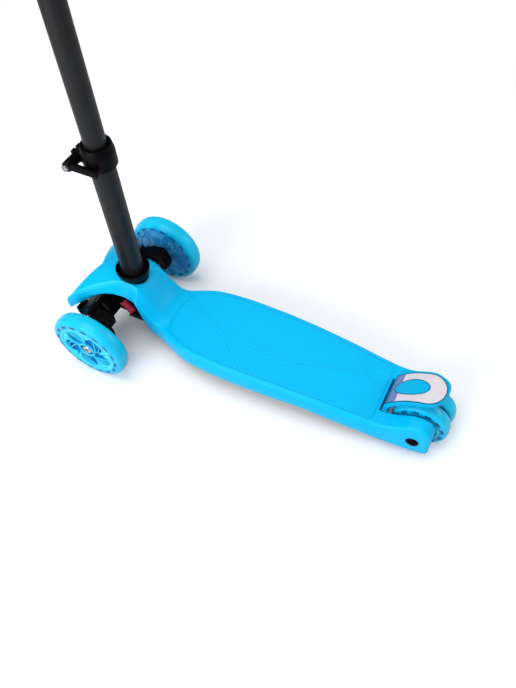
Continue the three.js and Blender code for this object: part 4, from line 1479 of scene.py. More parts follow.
@dataclass
class Wheel:
    """Wheel with a cast translucent tyre on a core whose outer face has leaf-shaped pockets.

    Args:
        radius: outer radius.
        width: width over the tyre.
        depth: depth of the tyre.
        centre: middle of the wheel in the scooter's own frame.
        pegs: number of gripping pegs round the core.
    """

    radius: float
    width: float
    depth: float
    centre: Triple
    pegs: int
    rim: float = 4.2
    bearing: float = 11.0
    hub: float = 14.0
    web_sink: float = 1.5
    face_dome: float = 0.7
    leaves: int = 5
    leaf_depth: float = 5.5
    leaf_margin: float = 1.2
    leaf_sweep: float = 30.0
    leaf_phase: float = -22.0
    leaf_bow: float = 0.42
    rays: int = 24
    face_steps: int = 480
    bore: float = 4.3
    bearing_width: float = 7.0

    @property
    def tyre_inner(self) -> float:
        """Radius where the tyre meets the core."""
        return self.radius - self.depth

    @property
    def core_half(self) -> float:
        """Distance from the middle plane to the core's inner side."""
        return self.width / 2 - 1.2

    @property
    def outer_face(self) -> float:
        """Distance from the middle plane to the outer face, at its rim."""
        return self.width / 2 - 1.1

    def tyre(self) -> Skin:
        """Tyre: an eased profile turned about the axle, with a shallow step on each side.

        Returns:
            The closed surface.
        """
        half, inner, shoulder = self.width / 2, self.tyre_inner, self.depth / 3
        tread = [
            (self.radius - 0.62 * shoulder, half - 0.42 * shoulder),
            (self.radius - 0.12 * shoulder, half * 0.52),
            (self.radius, half * 0.18),
        ]
        outer = [(inner + 0.3, half - 0.6), (inner + 0.7, half)]
        outer += [(inner + 0.36 * self.depth, half - 0.1)]
        outer += [(self.radius - 1.45 * shoulder, half - 0.7)]
        inside = [(inner + 0.3, self.core_half), (inner + 0.6, half - 0.5)]
        inside += [(inner + shoulder * 0.6, half - 0.2), (self.radius - 1.6 * shoulder, half)]
        upper = rounded(np.array(outer + tread), 2.2, 4, closed=False)
        lower = rounded(np.array(inside + tread), 3.0, 4, closed=False)[::-1] * np.array([1, -1])
        return revolved(np.concatenate([upper, lower]), 144)

    def across_leaf(self, x: Array, y: Array, ends: Array, share: float) -> tuple[Array, Array]:
        """Where points lie in a leaf between two ends. With s the share of the way along it and c
        the distance to its middle line, the leaf reaches to 4 s (1 - s) share length.

        Args:
            x: places across the wheel.
            y: places up the wheel.
            ends: radius and angle in degrees of its two ends.
            share: half its width as a share of its length.

        Returns:
            The distance c, and how far the leaf reaches there, negative beyond the ends.
        """
        turn = np.radians(ends[:, 1])
        tips = ends[:, :1] * np.stack([np.cos(turn), np.sin(turn)], axis=-1)
        (ax, ay), (dx, dy) = tips[0], tips[1] - tips[0]
        length = math.hypot(dx, dy)
        along = ((x - ax) * dx + (y - ay) * dy) / length**2
        across = ((x - ax) * dy - (y - ay) * dx) / length
        return across, 4 * along * (1 - along) * share * length

    def outer_relief(self, radius: Array, angle: Array) -> Array:
        """Depth of the outer face's pattern: leaves with nested raised arcs, a narrow slot
        between neighbours, and a shallow groove under the rim. Every edge is a smooth step.

        Args:
            radius: distances from the axle.
            angle: angles about it.

        Returns:
            The heights, 0 or less.
        """
        sector = 2 * np.pi / self.leaves
        local = np.mod(angle - math.radians(self.leaf_phase) + sector / 2, sector) - sector / 2
        depth = np.zeros(radius.shape)
        hub, rim = self.hub + self.leaf_margin, self.tyre_inner - self.rim - self.leaf_margin
        for shift in (-1, 0, 1):
            x, y = radius * np.cos(local + shift * sector), radius * np.sin(local + shift * sector)
            ends = np.array([[hub, -self.leaf_sweep], [rim, self.leaf_sweep]])
            across, reach = self.across_leaf(x, y, ends, self.leaf_bow)
            well = ease_between(reach - np.abs(across), 0.0, 1.1) * self.leaf_depth
            for share in (0.6, 0.12):
                arc = 1 - ease_between(np.abs(across - share * reach), 0.7, 1.4)
                well = well * (1 - 0.93 * arc)
            ends = np.array([[hub + 3.5, 19.0], [rim - 2.5, 54.0]])
            across, reach = self.across_leaf(x, y, ends, 0.05)
            slot = ease_between(reach - np.abs(across), -0.1, 0.5) * self.leaf_depth * 0.7
            depth = np.maximum(depth, np.maximum(well, slot))
        groove = 1 - ease_between(np.abs(radius - rim - 1.2), 0.2, 0.8)
        return -np.maximum(depth, 0.6 * groove)

    def inner_relief(self, radius: Array, angle: Array) -> Array:
        """Depth of the inner face's pattern: low ribs like rays, 0.5 mm high."""
        turn = np.mod(angle * self.rays / (2 * np.pi), 1.0) - 0.5
        aside = np.abs(turn) * 2 * np.pi * radius / self.rays
        return 0.5 * (1 - ease_between(aside, 0.5, 1.2))

    def core(self) -> Skin:
        """Core: one profile turned about the axle, over the hub, the outer face, the rim and the
        inner face, with the pattern of each face added to its height.

        Returns:
            The closed surface.
        """
        hub, rim = self.hub, self.tyre_inner - self.rim
        across = np.linspace(hub + 0.5, rim - 0.5, round((rim - hub) * 2))
        bore = self.bearing + 0.3
        share = (across - hub) / (rim - hub)

        def side(half: float, face: Array) -> Array:
            """Half a profile: hub, web at the given heights, and rim.

            Args:
                half: height of the hub and the rim.
                face: heights of the web.

            Returns:
                Radius and height of each point.
            """
            edge = [(bore, half - 0.5), (bore + 0.5, half), (hub - 0.5, half), (hub, half - 0.4)]
            edge += [(hub, face[0])]
            ring = [(rim, face[-1]), (rim, half - 0.4), (rim + 0.5, half), (self.tyre_inner, half)]
            return np.concatenate([edge, np.stack([across, face], axis=-1), ring])

        upper = side(self.width / 2 - 0.2, self.outer_face + self.face_dome * (1 - share**2))
        lower = side(self.core_half, np.full(len(across), self.core_half - self.web_sink))
        segments = self.face_steps
        angle = np.arange(segments) * 2 * np.pi / segments
        on_web = np.zeros((len(upper), 1))
        on_web[5 : 5 + len(across)] = 1.0
        radius = np.broadcast_to(upper[:, :1], (len(upper), segments))
        above = self.outer_relief(radius, angle[None, :]) * on_web
        below = self.inner_relief(radius, angle[None, :]) * on_web
        profile = np.concatenate([upper, lower[::-1] * np.array([1, -1])])
        return revolved(profile, segments, None, np.concatenate([above, -below[::-1]]))

    def race(self, start: float) -> Skin:
        """Bearing: outer ring, recessed shield and inner ring in one turned profile.

        Args:
            start: where it starts along the axle.

        Returns:
            The closed surface.
        """
        end = start + self.bearing_width
        outer, inner = self.bearing, self.bore
        upper = [
            (inner, end - 0.3),
            (inner + 0.3, end),
            (inner + 2.0, end),
            (inner + 2.3, end - 0.7),
            (outer - 2.2, end - 0.7),
            (outer - 1.9, end),
            (outer - 0.4, end),
            (outer, end - 0.4),
        ]
        upper = np.array(upper)
        lower = upper[::-1].copy()
        lower[:, 1] = start + end - lower[:, 1]
        return revolved(np.concatenate([upper, lower]), 96)

    def build(
        self,
        shop: Workshop,
        side: str,
        end: str,
        races: dict[str, float],
        colours: tuple[Colour, Colour],
        steel: Finish,
    ) -> None:
        """Makes the wheel's pieces.

        Args:
            shop: makes the pieces.
            side: left or right.
            end: front or rear.
            races: for each bearing node, its start along X.
            colours: colour of the tyre and of the core.
            steel: finish of the bearings.
        """
        mirror = side == "right"
        x, y, z = self.centre
        flat = Placement(along_x=True, offset=(x, y, z), mirror=mirror)
        centre = shop.to_row(-x if mirror else x, y, z)
        tyre = ClearTyre(
            f"{end} tyre {side}",
            "tyre_blue",
            colours[0],
            0.2,
            centre=centre,
            peg_ring=self.tyre_inner + 3.6,
            peg_count=self.pegs,
            reach=self.radius,
        )
        core = ClearCore(
            f"{end} core {side}",
            "core_blue",
            colours[1],
            0.24,
            centre=centre,
            outward=-1.0 if mirror else 1.0,
            face=self.outer_face,
            pocket=self.leaf_depth,
        )
        shop.piece(f"{end}_tyre_{side}", flat.place(self.tyre()), tyre, sharp=50)
        shop.piece(f"{end}_core_{side}", flat.place(self.core()), core)
        for node, start in races.items():
            at = Placement(along_x=True, offset=(0, y, z), mirror=mirror)
            shop.piece(node, at.place(self.race(start)), steel)


# The brake


@dataclass
class Brake:
    """Foot brake over the rear wheels: a blue body that curves up from its pin, with a bright
    steel plate let into it round a blue tongue."""

    hinge_place: float = 431.9
    hinge_height: float = 50.0
    barrel: float = 4.6
    pin: float = 2.0
    half: float = 27.2
    tail: float = 503.0
    crown: float = 105.5
    thickness: float = 6.5
    border: float = 2.9
    tongue_half: float = 12.5
    tongue_front: float = 434.0
    tongue_rear: float = 478.0
    plate_bend: float = 441.0
    painted_shade_ring_width: float = 1.2
    # Width of the painted shade rings.
    shares: Array = field(
        default_factory=lambda: np.array(
            [(0, 0), (0.03, 0.24), (0.19, 0.53), (0.42, 0.79), (0.69, 0.95), (1, 1)], float
        )
    )

    @property
    def plate_front(self) -> float:
        """Place of the steel plate's front edge."""
        return self.hinge_place - self.barrel / 2

    def side_line(self) -> Array:
        """Side view of the top: places and heights on a smooth line through the shares.

        Returns:
            Place and height of each point.
        """
        start = self.hinge_place - self.barrel
        low = self.hinge_height + self.barrel / 2
        table = np.stack(
            [
                start + self.shares[:, 0] * (self.tail - start),
                low + self.shares[:, 1] * (self.crown - low),
            ],
            axis=-1,
        )
        run = np.concatenate([[0], np.cumsum(np.linalg.norm(np.diff(table, axis=0), axis=1))])
        return smooth_between(run, table, np.linspace(0, run[-1], 200))

    def draped(self, x: Array, y: Array, level: Array) -> Array:
        """Points laid on the curved side line: (x, y, z(y)) + level n(y), with n square to it.

        Args:
            x: places across the brake.
            y: places along it.
            level: heights over the side line.

        Returns:
            The points.
        """
        line = self.side_line()
        z = np.interp(y, line[:, 0], line[:, 1])
        slope = np.interp(y, line[:-1, 0], np.diff(line[:, 1]) / np.diff(line[:, 0]))
        length = np.sqrt(1 + slope**2)
        return np.stack([x, y - level * slope / length, z + level / length], axis=-1)

    def outline(self, inset: float, front: float, count: int = 240) -> Array:
        """Plan of the plate seen from the tongue's middle: for each angle the distance to the
        straight sides, the square front or the half-round rear.

        Args:
            inset: how far the sides and the rear are drawn in.
            front: place of the front edge.
            count: number of points.

        Returns:
            A count x 2 array.
        """
        half, middle = self.half - inset, (self.tongue_front + self.tongue_rear) / 2
        rear_centre = self.tail - self.half
        bow = np.linspace(0, np.pi, 90)
        line = np.concatenate(
            [
                np.stack([half * np.cos(bow), rear_centre + (self.half - inset) * np.sin(bow)], -1),
                np.stack([np.full(40, -half), np.linspace(rear_centre, front, 40)], -1),
                np.stack([np.linspace(-half, half, 40), np.full(40, front)], -1),
                np.stack([np.full(40, half), np.linspace(front, rear_centre, 40)], -1),
            ]
        ) - np.array([0, middle])
        angle = np.unwrap(np.arctan2(line[:, 1], line[:, 0]))
        order = np.argsort(angle)
        wanted = np.arange(count) * 2 * np.pi / count
        distance = np.linalg.norm(line, axis=1)[order]
        reach = np.interp(wanted, angle[order], distance, period=2 * np.pi)
        return np.stack([reach * np.cos(wanted), middle + reach * np.sin(wanted)], axis=-1)

    def oval(self, grow: float, count: int = 240) -> Array:
        """Plan of the tongue."""
        angle = np.arange(count) * 2 * np.pi / count
        middle = (self.tongue_front + self.tongue_rear) / 2
        reach = (self.tongue_rear - self.tongue_front) / 2
        x = (self.tongue_half + grow) * np.cos(angle)
        return np.stack([x, middle + (reach + grow) * np.sin(angle)], axis=-1)

    def ring(self, outer: Array, inner: Array, low: float, high: float, ease: float) -> Skin:
        """Closed band between two plan outlines, draped: its section is an eased rectangle from
        the inner outline (s = 0) to the outer one (s = 1) and from low to high.

        Args:
            outer: plan of its outer edge.
            inner: plan of its inner edge, with as many points.
            low: height of its underside over the side line.
            high: height of its top.
            ease: how far its edges are eased.

        Returns:
            The closed surface.
        """
        width = float(np.linalg.norm(outer - inner, axis=1).mean())
        corners = np.array([[0, low], [0, high], [1, high], [1, low]], float) * np.array([width, 1])
        fine = rounded(corners, ease, 3)
        flat = np.array([[width * s, high] for s in (0.25, 0.5, 0.75)])
        split = int(np.argmax(fine[:, 1] >= high - 1e-9)) + 1
        fine = np.concatenate([fine[:split], flat, fine[split:]])
        share = (fine[:, 0] / width)[:, None, None]
        plan = inner[None] + share * (outer - inner)[None]
        level = np.broadcast_to(fine[:, 1][:, None], plan.shape[:2])
        points = self.draped(plan[..., 0], plan[..., 1], level)
        return Skin(points.reshape(-1, 3), grid_quads(len(fine), outer.shape[0], True, True))

    def disc(self, outline: Array, low: float, high: float, ease: float) -> Skin:
        """Closed pad of the outline, draped: rings shrink towards its middle on top and below.

        Args:
            outline: its plan.
            low: height of its underside over the side line.
            high: height of its top.
            ease: how far its edges are eased.

        Returns:
            The closed surface.
        """
        middle = outline.mean(axis=0)
        turn = np.linspace(0, np.pi / 2, 5)
        aside, sink = ease * (1 - np.sin(turn)), ease * (1 - np.cos(turn))
        inset = np.concatenate([aside, aside[::-1]])
        level = np.concatenate([low + sink, high - sink[::-1]])
        reach = np.linalg.norm(outline - middle, axis=1)
        shrink = [1 - i / reach for i in inset]
        fill = [0.0, 0.25, 0.5, 0.75, 0.9]
        rows = [shrink[0] * f for f in fill] + shrink + [shrink[-1] * f for f in fill[::-1]]
        levels = np.concatenate([np.full(5, low), level, np.full(5, high)])
        share = np.stack(rows)[:, :, None]
        plan = middle + share * (outline - middle)[None]
        level = np.broadcast_to(levels[:, None], plan.shape[:2])
        points = self.draped(plan[..., 0], plan[..., 1], level)
        return Skin(points.reshape(-1, 3), grid_quads(len(levels), outline.shape[0], False, True))

    def build(self, shop: Workshop, finishes: Finishes) -> None:
        """Makes the cover, its plate, dark rings of painted shade round the plate and the tongue,
        its pin and its spring.

        Args:
            shop: makes the pieces.
            finishes: the scooter's finishes.
        """
        front = self.hinge_place - self.barrel + 0.8
        full = self.outline(0.0, front)
        pocket = self.outline(self.border, self.plate_front)
        hinge = Placement(along_x=True, offset=(0, self.hinge_place, self.hinge_height))
        lip = self.outline(self.border - 0.4, self.plate_front - 0.4)
        cover = joined(
            self.disc(full, -self.thickness, -1.75, 1.2),
            self.ring(full, lip, -3.5, 0.0, 1.0),
            self.disc(self.oval(-0.15), -3.5, 0.0, 0.9),
            hinge.place(rod(self.barrel, -27.7, 27.7, 0.5)),
        )
        plate = self.ring(pocket, self.oval(0.3), -1.75, -0.35, 0.25)
        shop.piece("brake_cover", cover, finishes.brake, sharp=40)
        steel = BrushedPlate(
            "brushed brake plate",
            "brushed",
            srgb(226, 222, 230),
            0.4,
            centre=shop.to_row(0, 468.0, 100.0),
            bend=shop.to_row(0, self.plate_bend, 0)[1],
        )
        shop.piece("brake_plate", plate, steel, sharp=40)
        # Painted shade: dark rings laid round the plate's pocket and round the tongue.
        edge, start, half = self.border - 0.3, self.plate_front - 0.3, self.painted_shade_ring_width / 2
        inner = self.outline(edge + 2 * half, start + 2 * half)
        painted_shade_ring = joined(
            self.ring(self.outline(edge, start), inner, -1.0, -0.15, 0.2),
            self.ring(self.oval(half), self.oval(-half), -1.0, 0.1, 0.2),
        )
        shop.piece("brake_cover", painted_shade_ring, finishes.painted_shade_ring, extra="brake_painted_shade_rings")
        shop.piece("brake_pin", hinge.place(rod(self.pin, -43.9, 43.9, 0.3)), finishes.steel)
        shop.piece("brake_spring", hinge.place(self.spring()), finishes.spring)

    def spring(self) -> Skin:
        """Coil round the pin: a wire of radius w carried along the helix
        (R cos a, R sin a, p a), with a running over all its turns.

        Returns:
            The closed surface.
        """
        wire, reach, turns, length = 0.5, 3.1, 9.0, 13.0
        angle = np.linspace(0, 2 * np.pi * turns, int(24 * turns))
        around = np.arange(10) * 2 * np.pi / 10
        out = reach + wire * np.cos(around)
        x = out[None, :] * np.cos(angle)[:, None]
        y = out[None, :] * np.sin(angle)[:, None]
        rise = (angle / angle[-1] - 0.5) * (length - 2 * wire)
        z = rise[:, None] + wire * np.sin(around)[None, :]
        return ladder(np.stack([x, y, z], axis=-1))


# Column and handlebar


@dataclass
class Column:
    """Steering column: collar on the neck, telescoping tubes, height clamp, tee and handlebar."""

    place: float = 19.0
    lean: float = -0.8
    lower_radius: float = 16.7
    upper_radius: float = 14.2
    wall: float = 1.5
    lower_foot: float = 72.0
    lower_top: float = 340.0
    upper_foot: float = 120.0
    upper_top: float = 636.0
    collar_top: float = 133.0
    neck: float = 120.0
    bar_radius: float = 11.0
    bar_length: float = 226.0
    grip_start: float = 25.0

    @property
    def upright(self) -> Placement:
        """Placement of a piece drawn about the column's own axis."""
        return Placement(tilt=self.lean, offset=(0, self.place, 0))

    def across(self, height: float, forward: float = 0.0, mirror: bool = False) -> Placement:
        """Placement of a piece drawn about Z that lies across the column at a height."""
        shift, offset = (0, -forward, height), (0, self.place, 0)
        return Placement(shift, along_x=True, tilt=self.lean, offset=offset, mirror=mirror)

    def collar(self) -> Skin:
        """Black collar: a ring that widens upwards round a dished mouth, turned.

        Returns:
            The closed surface.
        """
        inner = self.lower_radius + 0.3
        corners = np.array([
            (inner, 96.0),
            (20.5, 96.0),
            (20.5, self.neck + 0.35),
            (22.8, self.neck + 0.35),
            (24.2, self.neck + 5.0),
            (25.4, self.collar_top - 2.4),
            (25.4, self.collar_top - 0.6),
            (24.6, self.collar_top),
            (23.2, self.collar_top),
            (21.8, self.collar_top - 2.6),
            (19.6, self.collar_top - 7.5),
            (inner, self.collar_top - 10.9),
        ])
        return revolved(rounded(corners, 0.7, 3), 128)

    def grip(self) -> Skin:
        """Grip with an inner flange, a row of finger rings and a domed end, turned.

        Returns:
            The closed surface.
        """
        end, start = self.bar_length / 2 + 3.3, self.grip_start
        bore = self.bar_radius + 0.3
        rings = np.arange(15)
        along = start + 9.0 + rings * 4.9
        ribs = np.stack(
            [
                np.tile([14.2, 15.0, 15.0, 14.2], len(rings)),
                (along[:, None] + np.array([0.0, 0.7, 2.6, 3.3])[None, :]).reshape(-1),
            ],
            axis=-1,
        )
        head = np.array([
            (bore, start),
            (18.2, start),
            (19.0, start + 0.9),
            (19.0, start + 3.2),
            (18.0, start + 4.1),
            (14.4, start + 5.4),
        ])
        tail = np.array([
            (14.2, end - 5.0),
            (15.0, end - 4.2),
            (15.0, end - 2.4),
            (14.1, end - 0.9),
            (12.0, end - 0.1),
            (0.0, end),
            (0.0, end - 3.0),
            (bore, end - 3.0),
        ])
        return revolved(np.concatenate([head, ribs, tail]), 96)

    def build(self, shop: Workshop, finishes: Finishes) -> None:
        """Makes the column's pieces.

        Args:
            shop: makes the pieces.
            finishes: the scooter's finishes.
        """
        place = self.upright.place
        lower, upper, wall = self.lower_radius, self.upper_radius, self.wall
        shop.piece("column_socket", place(self.collar()), finishes.black)
        lower_tube = tube(lower - wall, lower, self.lower_foot, self.lower_top)
        upper_tube = tube(upper - wall, upper, self.upper_foot, self.upper_top)
        shop.piece("lower_tube", place(lower_tube), finishes.paint)
        sleeve = np.array([
            (upper + 0.3, self.lower_top - 30),
            (lower - wall - 0.3, self.lower_top - 30),
            (lower - wall - 0.3, self.lower_top + 0.3),
            (lower, self.lower_top + 0.3),
            (lower, self.lower_top + wall),
            (upper + 0.3, self.lower_top + wall),
        ])
        shop.piece("guide_sleeve", place(revolved(rounded(sleeve, 0.2, 2))), finishes.black)
        shop.piece("upper_tube", place(upper_tube), finishes.paint)
        self.build_clamp(shop, finishes)
        self.build_bar(shop, finishes)

    def build_clamp(self, shop: Workshop, finishes: Finishes) -> None:
        """Makes the height clamp: a split band with two ears, its bolt, nut and lever.

        Args:
            shop: makes the pieces.
            finishes: the scooter's finishes.
        """
        inner = self.lower_radius + 0.3
        outer = inner + 4.5
        foot, step = self.lower_top - 18, self.lower_top + self.wall + 0.3
        top, middle = foot + 30, self.lower_top - 12
        upper = self.upper_radius + 0.3
        band = np.array([
            (inner, foot),
            (outer, foot),
            (outer, step),
            (outer - 2.25, top),
            (upper, top),
            (upper, step),
            (inner, step),
        ])
        ears = block((-8.5, 8.5), (-outer - 15, -inner - 2.25), (middle - 7, middle + 7))
        bolt_at = outer + 7.5
        across = Placement(shift=(0, -bolt_at, middle), along_x=True)
        slit = block((-1.5, 1.5), (-60, 0), (foot - 5, top + 5))
        hole = across.place(rod(2.8, -40, 40, 0.0, 48))
        parts = [self.upright.place(s) for s in (revolved(rounded(band, 0.6, 2)), slit, hole, ears)]
        collar = shop.carved("clamp_collar_form", parts[0], parts[1:3], [parts[3]])
        shop.piece("clamp_collar", collar, finishes.black, edge=0.5)
        reach = outer + 0.3 + 8
        bolt = Fastener(2.5, 5.0, 4.0, 2.2)
        on_bolt = self.across(middle, bolt_at)
        body = bolt.bolt(-reach - 4.0, 8.8)
        flipped = Skin(body.points * np.array([1, 1, -1]), body.faces)
        shop.piece("clamp_bolt", on_bolt.place(flipped), finishes.steel)
        nut = Fastener(2.8, 5.0, 0.0).nut(reach + 0.3, reach + 4.0)
        shop.piece("clamp_nut", on_bolt.place(nut), finishes.steel)
        shop.piece("clamp_lever", shop.copy_of("clamp_lever"), finishes.black, edge=0.9)

    def build_bar(self, shop: Workshop, finishes: Finishes) -> None:
        """Makes the tee, the bar and the two grips.

        Args:
            shop: makes the pieces.
            finishes: the scooter's finishes.
        """
        height = self.upper_top + self.bar_radius + 0.3
        across = self.across(height)
        radius, top = 18.0, self.upper_top
        tube_bore = rod(self.upper_radius + 0.3, top - 40, top + 0.3, 0.0)
        tee = shop.carved(
            "handlebar_tee_form",
            self.upright.place(rod(radius, top - 34, height, 1.0)),
            [
                self.upright.place(tube_bore),
                across.place(rod(self.bar_radius + 0.3, -60, 60, 0.0)),
            ],
            [across.place(rod(radius - 3, -23, 23, 0.8))],
        )
        shop.piece("handlebar_tee", tee, finishes.black)
        half = self.bar_length / 2
        bar = tube(self.bar_radius - self.wall, self.bar_radius, -half, half)
        shop.piece("handlebar", across.place(bar), finishes.paint)
        for side in ("left", "right"):
            at = self.across(height, mirror=side == "right")
            shop.piece(f"grip_{side}", at.place(self.grip()), finishes.grip)


# Front end and axles


@dataclass
class FrontEnd:
    """Lean-to-steer front: carrier, kingpins, bushes, knuckles and tie rod, with their bolts."""

    pin_spread: float = 58.0
    pin_advance: float = 14.0
    pin_height: float = 66.996
    pin_tilt: float = 38.5
    fork_top: float = 21.3
    fork_foot: float = -13.3
    bush_place: float = 32.5
    bush_setback: float = 32.0
    bush_drop: float = 14.0
    tie_reach: float = 26.0
    axle_height: float = 60.0

    def on_pin(self, x: float, shift: Triple = (0, 0, 0), mirror: bool = False) -> Placement:
        """Placement of a piece drawn about an upright kingpin."""
        offset = (x, -self.pin_advance, self.pin_height)
        return Placement(shift=shift, tilt=self.pin_tilt, offset=offset, mirror=mirror)

    def bush(self) -> Skin:
        """Waisted bush with two fine grooves, turned.

        Returns:
            The closed surface.
        """
        below = np.array(
            [(0.0, -12.0), (5.8, -12.0), (6.5, -11.2), (6.5, -7.5), (6.0, -7.0), (6.4, -6.5)]
        )
        above = below[::-1] * np.array([1, -1])
        corners = np.concatenate([below, [(5.4, 0.0)], above])
        return revolved(rounded(corners, 0.4, 2, closed=False), 72)

    def build(self, shop: Workshop, finishes: Finishes) -> None:
        """Makes the front end's pieces.

        Args:
            shop: makes the pieces.
            finishes: the scooter's finishes.
        """
        shop.piece("front_carrier", shop.copy_of("front_carrier"), finishes.black, edge=0.9)
        loops = [
            [(x, front, 16.0), (x, -11.5, 16.0), (x, -11.5, 20.6), (x, front, 20.6)]
            for x, front in ((22.0, -30.0), (41.0, -39.0))
        ]
        apron = ladder(np.array(loops))
        for side in ("left", "right"):
            made = self.on_pin(0.0, mirror=side == "right").place(apron)
            shop.piece("front_carrier", made, finishes.black, extra=f"carrier_apron_{side}")
        shop.piece("tie_rod", shop.copy_of("tie_rod"), finishes.paint, edge=0.4)
        kingpin = Fastener(4.0, 7.0, 3.0, 3.0)
        nut = Fastener(4.3, 7.0, 0.0)
        pin = Fastener(2.5, 5.0, 2.5, 2.0)
        axle = Fastener(4.0, 8.0, 4.7, 3.4)
        for side in ("left", "right"):
            mirror = side == "right"
            at = self.on_pin(self.pin_spread, mirror=mirror)
            top, foot = self.fork_top + 0.3, self.fork_foot - 0.3
            steel = finishes.blackened
            shop.piece(f"kingpin_{side}", at.place(kingpin.bolt(foot - 3.0, top)), steel)
            shop.piece(f"kingpin_nut_{side}", at.place(nut.nut(foot - 3.0, foot)), steel)
            behind = self.on_pin(self.bush_place, (0, self.bush_setback, -self.bush_drop), mirror)
            shop.piece(f"centring_bush_{side}", behind.place(self.bush()), finishes.bush)
            ahead = self.on_pin(self.pin_spread, (0, -self.tie_reach, 0), mirror)
            shop.piece(f"tie_pin_{side}", ahead.place(pin.bolt(-6.7, 6.7)), steel)
            shop.piece(f"knuckle_{side}", shop.copy_of(f"knuckle_{side}"), finishes.black, edge=0.8)
            wheel = Placement(along_x=True, offset=(0, 0, self.axle_height), mirror=mirror)
            shop.piece(f"axle_bolt_{side}", wheel.place(axle.bolt(74.0, 116.0)), finishes.bright)
            shop.dress(f"carrier_bolt_{side}", finishes.steel)


@dataclass
class RearAxle:
    """Rear axle with its black caps."""

    place: float = 480.0
    height: float = 40.0
    radius: float = 4.0
    cap: float = 8.9
    dome: float = 5.2

    def build(self, shop: Workshop, finishes: Finishes) -> None:
        """Makes the axle and its caps, whose domes are quarter ellipses.

        Args:
            shop: makes the pieces.
            finishes: the scooter's finishes.
        """
        low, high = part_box("axle_cap_left")
        seat, crown = low.x / MM, high.x / MM
        middle = (0, self.place, self.height)
        end = seat - 0.4
        axle = Placement(along_x=True, offset=middle).place(rod(self.radius, -end, end))
        shop.piece("rear_axle", axle, finishes.steel)
        turn = np.linspace(0.12, np.pi / 2, 14)
        dome = np.stack([self.cap * np.cos(turn), crown - self.dome * (1 - np.sin(turn))], axis=-1)
        dome[-1, 0] = 0.0
        foot = [(0.0, seat), (self.cap - 0.2, seat), (self.cap, seat + 0.5)]
        profile = np.concatenate([foot, dome])
        skin = revolved(rounded(profile, 0.35, 2, closed=False), 96)
        for side in ("left", "right"):
            at = Placement(along_x=True, offset=middle, mirror=side == "right")
            shop.piece(f"axle_cap_{side}", at.place(skin), finishes.cap)


# The studio


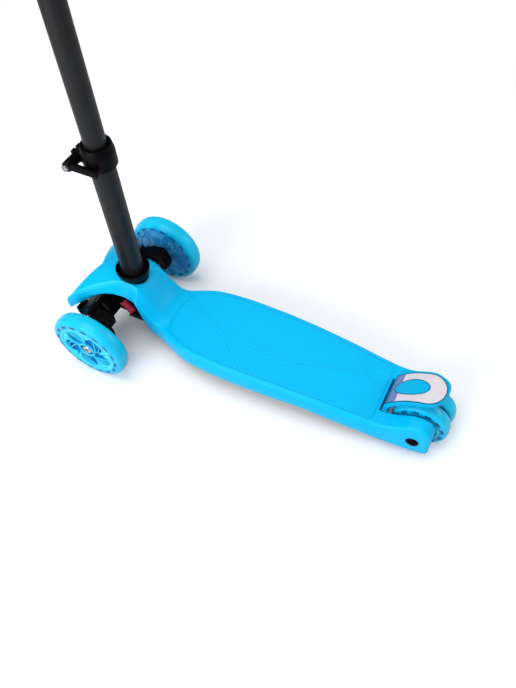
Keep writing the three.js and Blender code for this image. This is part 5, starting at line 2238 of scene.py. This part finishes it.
@dataclass
class Studio:
    """Camera, floor and lamps."""

    target: Triple = (0.030507, 0.242681, 0.10353)
    azimuth: float = 121.211
    elevation: float = 54.627
    distance: float = 0.886427
    roll: float = -5.368
    focal: float = 33.472
    sky: float = 0.6
    mirrored_sky: float = 0.1
    floor_size: float = 12.0

    def camera(self, axle_y: float) -> None:
        """Places the camera: it looks back along (sin a cos e, -cos a cos e, sin e) and is
        rolled about that line.

        Args:
            axle_y: place of the front axle along Y, in metres.
        """
        a, e, r = (math.radians(v) for v in (self.azimuth, self.elevation, self.roll))
        back = np.array([math.sin(a) * math.cos(e), -math.cos(a) * math.cos(e), math.sin(e)])
        right = np.cross(-back, [0, 0, 1])
        right /= np.linalg.norm(right)
        up = np.cross(right, -back)
        turned_right = right * math.cos(r) + up * math.sin(r)
        turned_up = -right * math.sin(r) + up * math.cos(r)
        target = np.array(self.target) + np.array([0, axle_y, 0])
        matrix = np.eye(4)
        matrix[:3, 0], matrix[:3, 1], matrix[:3, 2] = turned_right, turned_up, back
        matrix[:3, 3] = target + back * self.distance
        data = bpy.data.cameras.new("camera")
        data.lens, data.sensor_width, data.sensor_fit = self.focal, 36.0, "AUTO"
        data.clip_start, data.clip_end = 0.01, 50.0
        made = add_object("camera", data)
        made.matrix_world = Matrix(matrix.tolist())
        bpy.context.scene.camera = made

    def lamp(self, name: str, place: Triple, size: float, power: float) -> None:
        """Square soft lamp that points at the middle of the scooter.

        Args:
            name: the lamp's name.
            place: where it stands, in metres.
            size: its side in metres.
            power: its power in watts.
        """
        data = bpy.data.lights.new(name, "AREA")
        data.shape, data.size, data.energy = "SQUARE", size, power
        made = add_object(name, data)
        back = np.array(place) - np.array([0.0, 0.0, 0.1])
        back = back / np.linalg.norm(back)
        side = np.cross([0, 1, 0.01], back)
        side = side / np.linalg.norm(side)
        matrix = np.eye(4)
        matrix[:3, 0], matrix[:3, 1], matrix[:3, 2] = side, np.cross(back, side), back
        matrix[:3, 3] = place
        made.matrix_world = Matrix(matrix.tolist())

    def background(self) -> None:
        """White for the camera, a plain soft sky as light, and a dim one in reflections."""
        world = bpy.data.worlds.new("studio")
        bpy.context.scene.world = world
        shader = Shader(world)
        seen = shader.node("ShaderNodeLightPath", output="Is Camera Ray")
        glossy = Signal(shader, seen.socket.node.outputs["Is Glossy Ray"])
        light, dim, white = (
            shader.node("ShaderNodeBackground", inputs={"Color": WHITE, "Strength": strength})
            for strength in (self.sky, self.mirrored_sky, 1.0)
        )
        unseen = shader.node("ShaderNodeMixShader", inputs={0: glossy, 1: light, 2: dim})
        shader.surface(shader.node("ShaderNodeMixShader", inputs={0: seen, 1: unseen, 2: white}))

    def floor(self) -> None:
        """Pale floor that keeps the shadow and is white elsewhere."""
        half = self.floor_size / 2
        corners = np.array([[-1, -1, 0], [1, -1, 0], [1, 1, 0], [-1, 1, 0]], float) * half
        mesh = bpy.data.meshes.new("floor")
        mesh.from_pydata(corners.tolist(), [], [(0, 1, 2, 3)])
        made = add_object("floor", mesh)
        material = bpy.data.materials.new("pale floor")
        shader = Shader(material)
        seen = shader.node("ShaderNodeLightPath", output="Is Camera Ray")
        matt = shader.node("ShaderNodeBsdfDiffuse", inputs={"Color": (0.62, 0.635, 0.65)})
        glow = shader.node("ShaderNodeEmission", inputs={"Color": WHITE, "Strength": 0.02})
        pale = shader.node("ShaderNodeBsdfDiffuse", inputs={"Color": (0.915, 0.93, 0.955)})
        lit = shader.node("ShaderNodeAddShader", inputs={0: pale, 1: glow})
        white = shader.node("ShaderNodeEmission", inputs={"Color": WHITE, "Strength": 1.0})
        x, y, _ = shader.parts(shader.place())
        away = ((x * x + y * y) ** 0.5).step(550.0, 1000.0)
        shown = shader.node("ShaderNodeMixShader", inputs={0: away, 1: lit, 2: white})
        shader.surface(shader.node("ShaderNodeMixShader", inputs={0: seen, 1: matt, 2: shown}))
        mesh.materials.append(material)

    def build(self, axle_y: float) -> None:
        """Makes the camera, the light and the floor.

        Args:
            axle_y: place of the front axle along Y, in metres.
        """
        self.camera(axle_y)
        self.background()
        self.floor()
        self.lamp("overhead", (0.2, -0.3, 2.2), 1.4, 22.0)
        self.lamp("side", (1.9, -0.5, 0.9), 1.3, 34.0)
        self.lamp("rear", (-1.3, 1.7, 1.0), 0.9, 7.5)


def main() -> None:
    """Builds the scooter's looks round the frame."""
    logging.basicConfig(level=logging.INFO, format="%(name)s %(message)s")
    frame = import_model()
    shop = Workshop(frame["nodes"])
    finishes = Finishes()
    Studio().build(shop.axle_y)
    Deck().build(shop, finishes)
    FrontEnd().build(shop, finishes)
    Column().build(shop, finishes)
    colours = (srgb(0, 184, 226), srgb(40, 206, 238))
    front = Wheel(60.0, 26.0, 14.0, (108.0, 0.0, 60.0), 16)
    rear = Wheel(40.0, 23.0, 11.0, (12.7, 480.0, 40.0), 12)
    bearings = {
        "front": ("front_bearing_inner", "front_bearing_outer"),
        "rear": ("rear_bearing",),
    }
    names = (*bearings["front"], *bearings["rear"])
    starts = {name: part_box(f"{name}_left")[0].x / MM for name in names}
    for side in ("left", "right"):
        for end, wheel in (("front", front), ("rear", rear)):
            races = {f"{name}_{side}": starts[name] for name in bearings[end]}
            wheel.build(shop, side, end, races, colours, finishes.bearing)
    Brake().build(shop, finishes)
    RearAxle().build(shop, finishes)
    bpy.context.scene.view_settings.view_transform = "Standard"
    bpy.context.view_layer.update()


if __name__ == "__main__":
    main()
